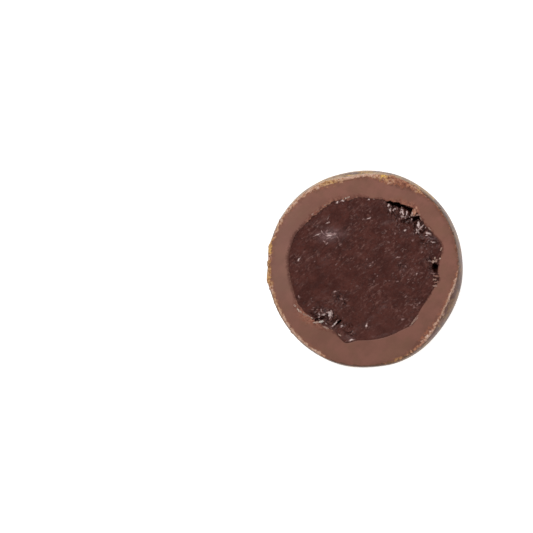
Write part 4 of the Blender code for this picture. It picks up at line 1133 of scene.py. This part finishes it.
# ---------------------------------------------------------------- floor, light and camera
FLOOR_SIZE, FLOOR_DROP = 3.0, 0.00002  # metres
AIM = Vector((0, 0, CUT_HEIGHT * MM))  # the middle of the cut face
LAMP_SIZE, LAMP_DISTANCE = 0.16, 0.3
LAMPS = (("upper_left", (-0.24, 0.57, 0.79), 5.6), ("lower_right", (0.34, -0.58, 0.74), 2.8))
ZENITH, MIDDLE_SKY, WINDOWS = 0.05, 0.9, 1.9  # radiances of the studio's surroundings
WINDOW_TURN = 25  # azimuth of the first of four broad windows near the horizon
CAMERA_DISTANCE, CAMERA_TILT, CAMERA_TOWARDS = 0.3, 4.5, 22
FRAME_PIXELS, PIXELS_PER_MM, SENSOR_WIDTH = 533, 7.1, 36.0
CUT_MIDDLE_PIXEL = (362.15, 268.0)  # where the middle of the cut face falls in the frame


def build_floor():
    bm = bmesh.new()
    bmesh.ops.create_grid(bm, x_segments=1, y_segments=1, size=FLOOR_SIZE)
    mesh = bpy.data.meshes.new("floor")
    bm.to_mesh(mesh)
    bm.free()
    floor = bpy.data.objects.new("floor", mesh)
    floor.location.z = -FLOOR_DROP
    floor.data.materials.append(floor_material())
    bpy.context.scene.collection.objects.link(floor)


def soft_box(name, direction, radiance):
    light = bpy.data.lights.new(name, "AREA")
    light.shape = "SQUARE"
    light.size = LAMP_SIZE
    light.energy = radiance * math.pi * LAMP_SIZE * LAMP_SIZE
    lamp = bpy.data.objects.new(name, light)
    bpy.context.scene.collection.objects.link(lamp)
    lamp.location = AIM + Vector(direction).normalized() * LAMP_DISTANCE
    lamp.rotation_euler = (AIM - lamp.location).to_track_quat("-Z", "Y").to_euler()


def build_world():
    """Soft white surroundings: dark straight above, where the camera hangs, and windows low down."""
    world = bpy.data.worlds.new("studio")
    n = Nodes(world)
    x, y, z = n.split(n.get("ShaderNodeTexCoord", {}, "Generated"))
    wave = n.math("COSINE", (n.math("ARCTAN2", y, x) - math.radians(WINDOW_TURN)) * 4)
    window = n.smooth(wave, -0.1, 0.5) * n.smooth(z, 0.17, 0.3, 1, 0)
    strength = window * (WINDOWS - MIDDLE_SKY) + n.smooth(z, 0.55, 0.88, MIDDLE_SKY, ZENITH)
    n.add("ShaderNodeOutputWorld", {0: n.get("ShaderNodeBackground", {"Strength": strength})})
    bpy.context.scene.world = world


def build_camera():
    camera = bpy.data.objects.new("camera", bpy.data.cameras.new("camera"))
    bpy.context.scene.collection.objects.link(camera)
    away = Vector(units(CAMERA_TOWARDS, 90 - CAMERA_TILT))
    up = (Vector((0, 1, 0)) - away * away.y).normalized()
    straight = Matrix((up.cross(away), up, away)).transposed()
    focal_pixels = PIXELS_PER_MM * CAMERA_DISTANCE / MM
    column, row = CUT_MIDDLE_PIXEL
    seen = Vector((column - FRAME_PIXELS / 2, FRAME_PIXELS / 2 - row, -focal_pixels))
    turn = Vector((0, 0, -1)).rotation_difference(seen.normalized()).to_matrix()
    place = Matrix.Translation(AIM + away * CAMERA_DISTANCE)
    camera.matrix_world = place @ (straight @ turn.inverted()).to_4x4()
    camera.data.sensor_width = SENSOR_WIDTH
    camera.data.lens = focal_pixels / FRAME_PIXELS * SENSOR_WIDTH
    camera.data.clip_start = 0.01
    bpy.context.scene.camera = camera


build_floor()
build_world()
for lamp in LAMPS:
    soft_box(*lamp)
build_camera()
bpy.context.scene.view_settings.view_transform = "Standard"
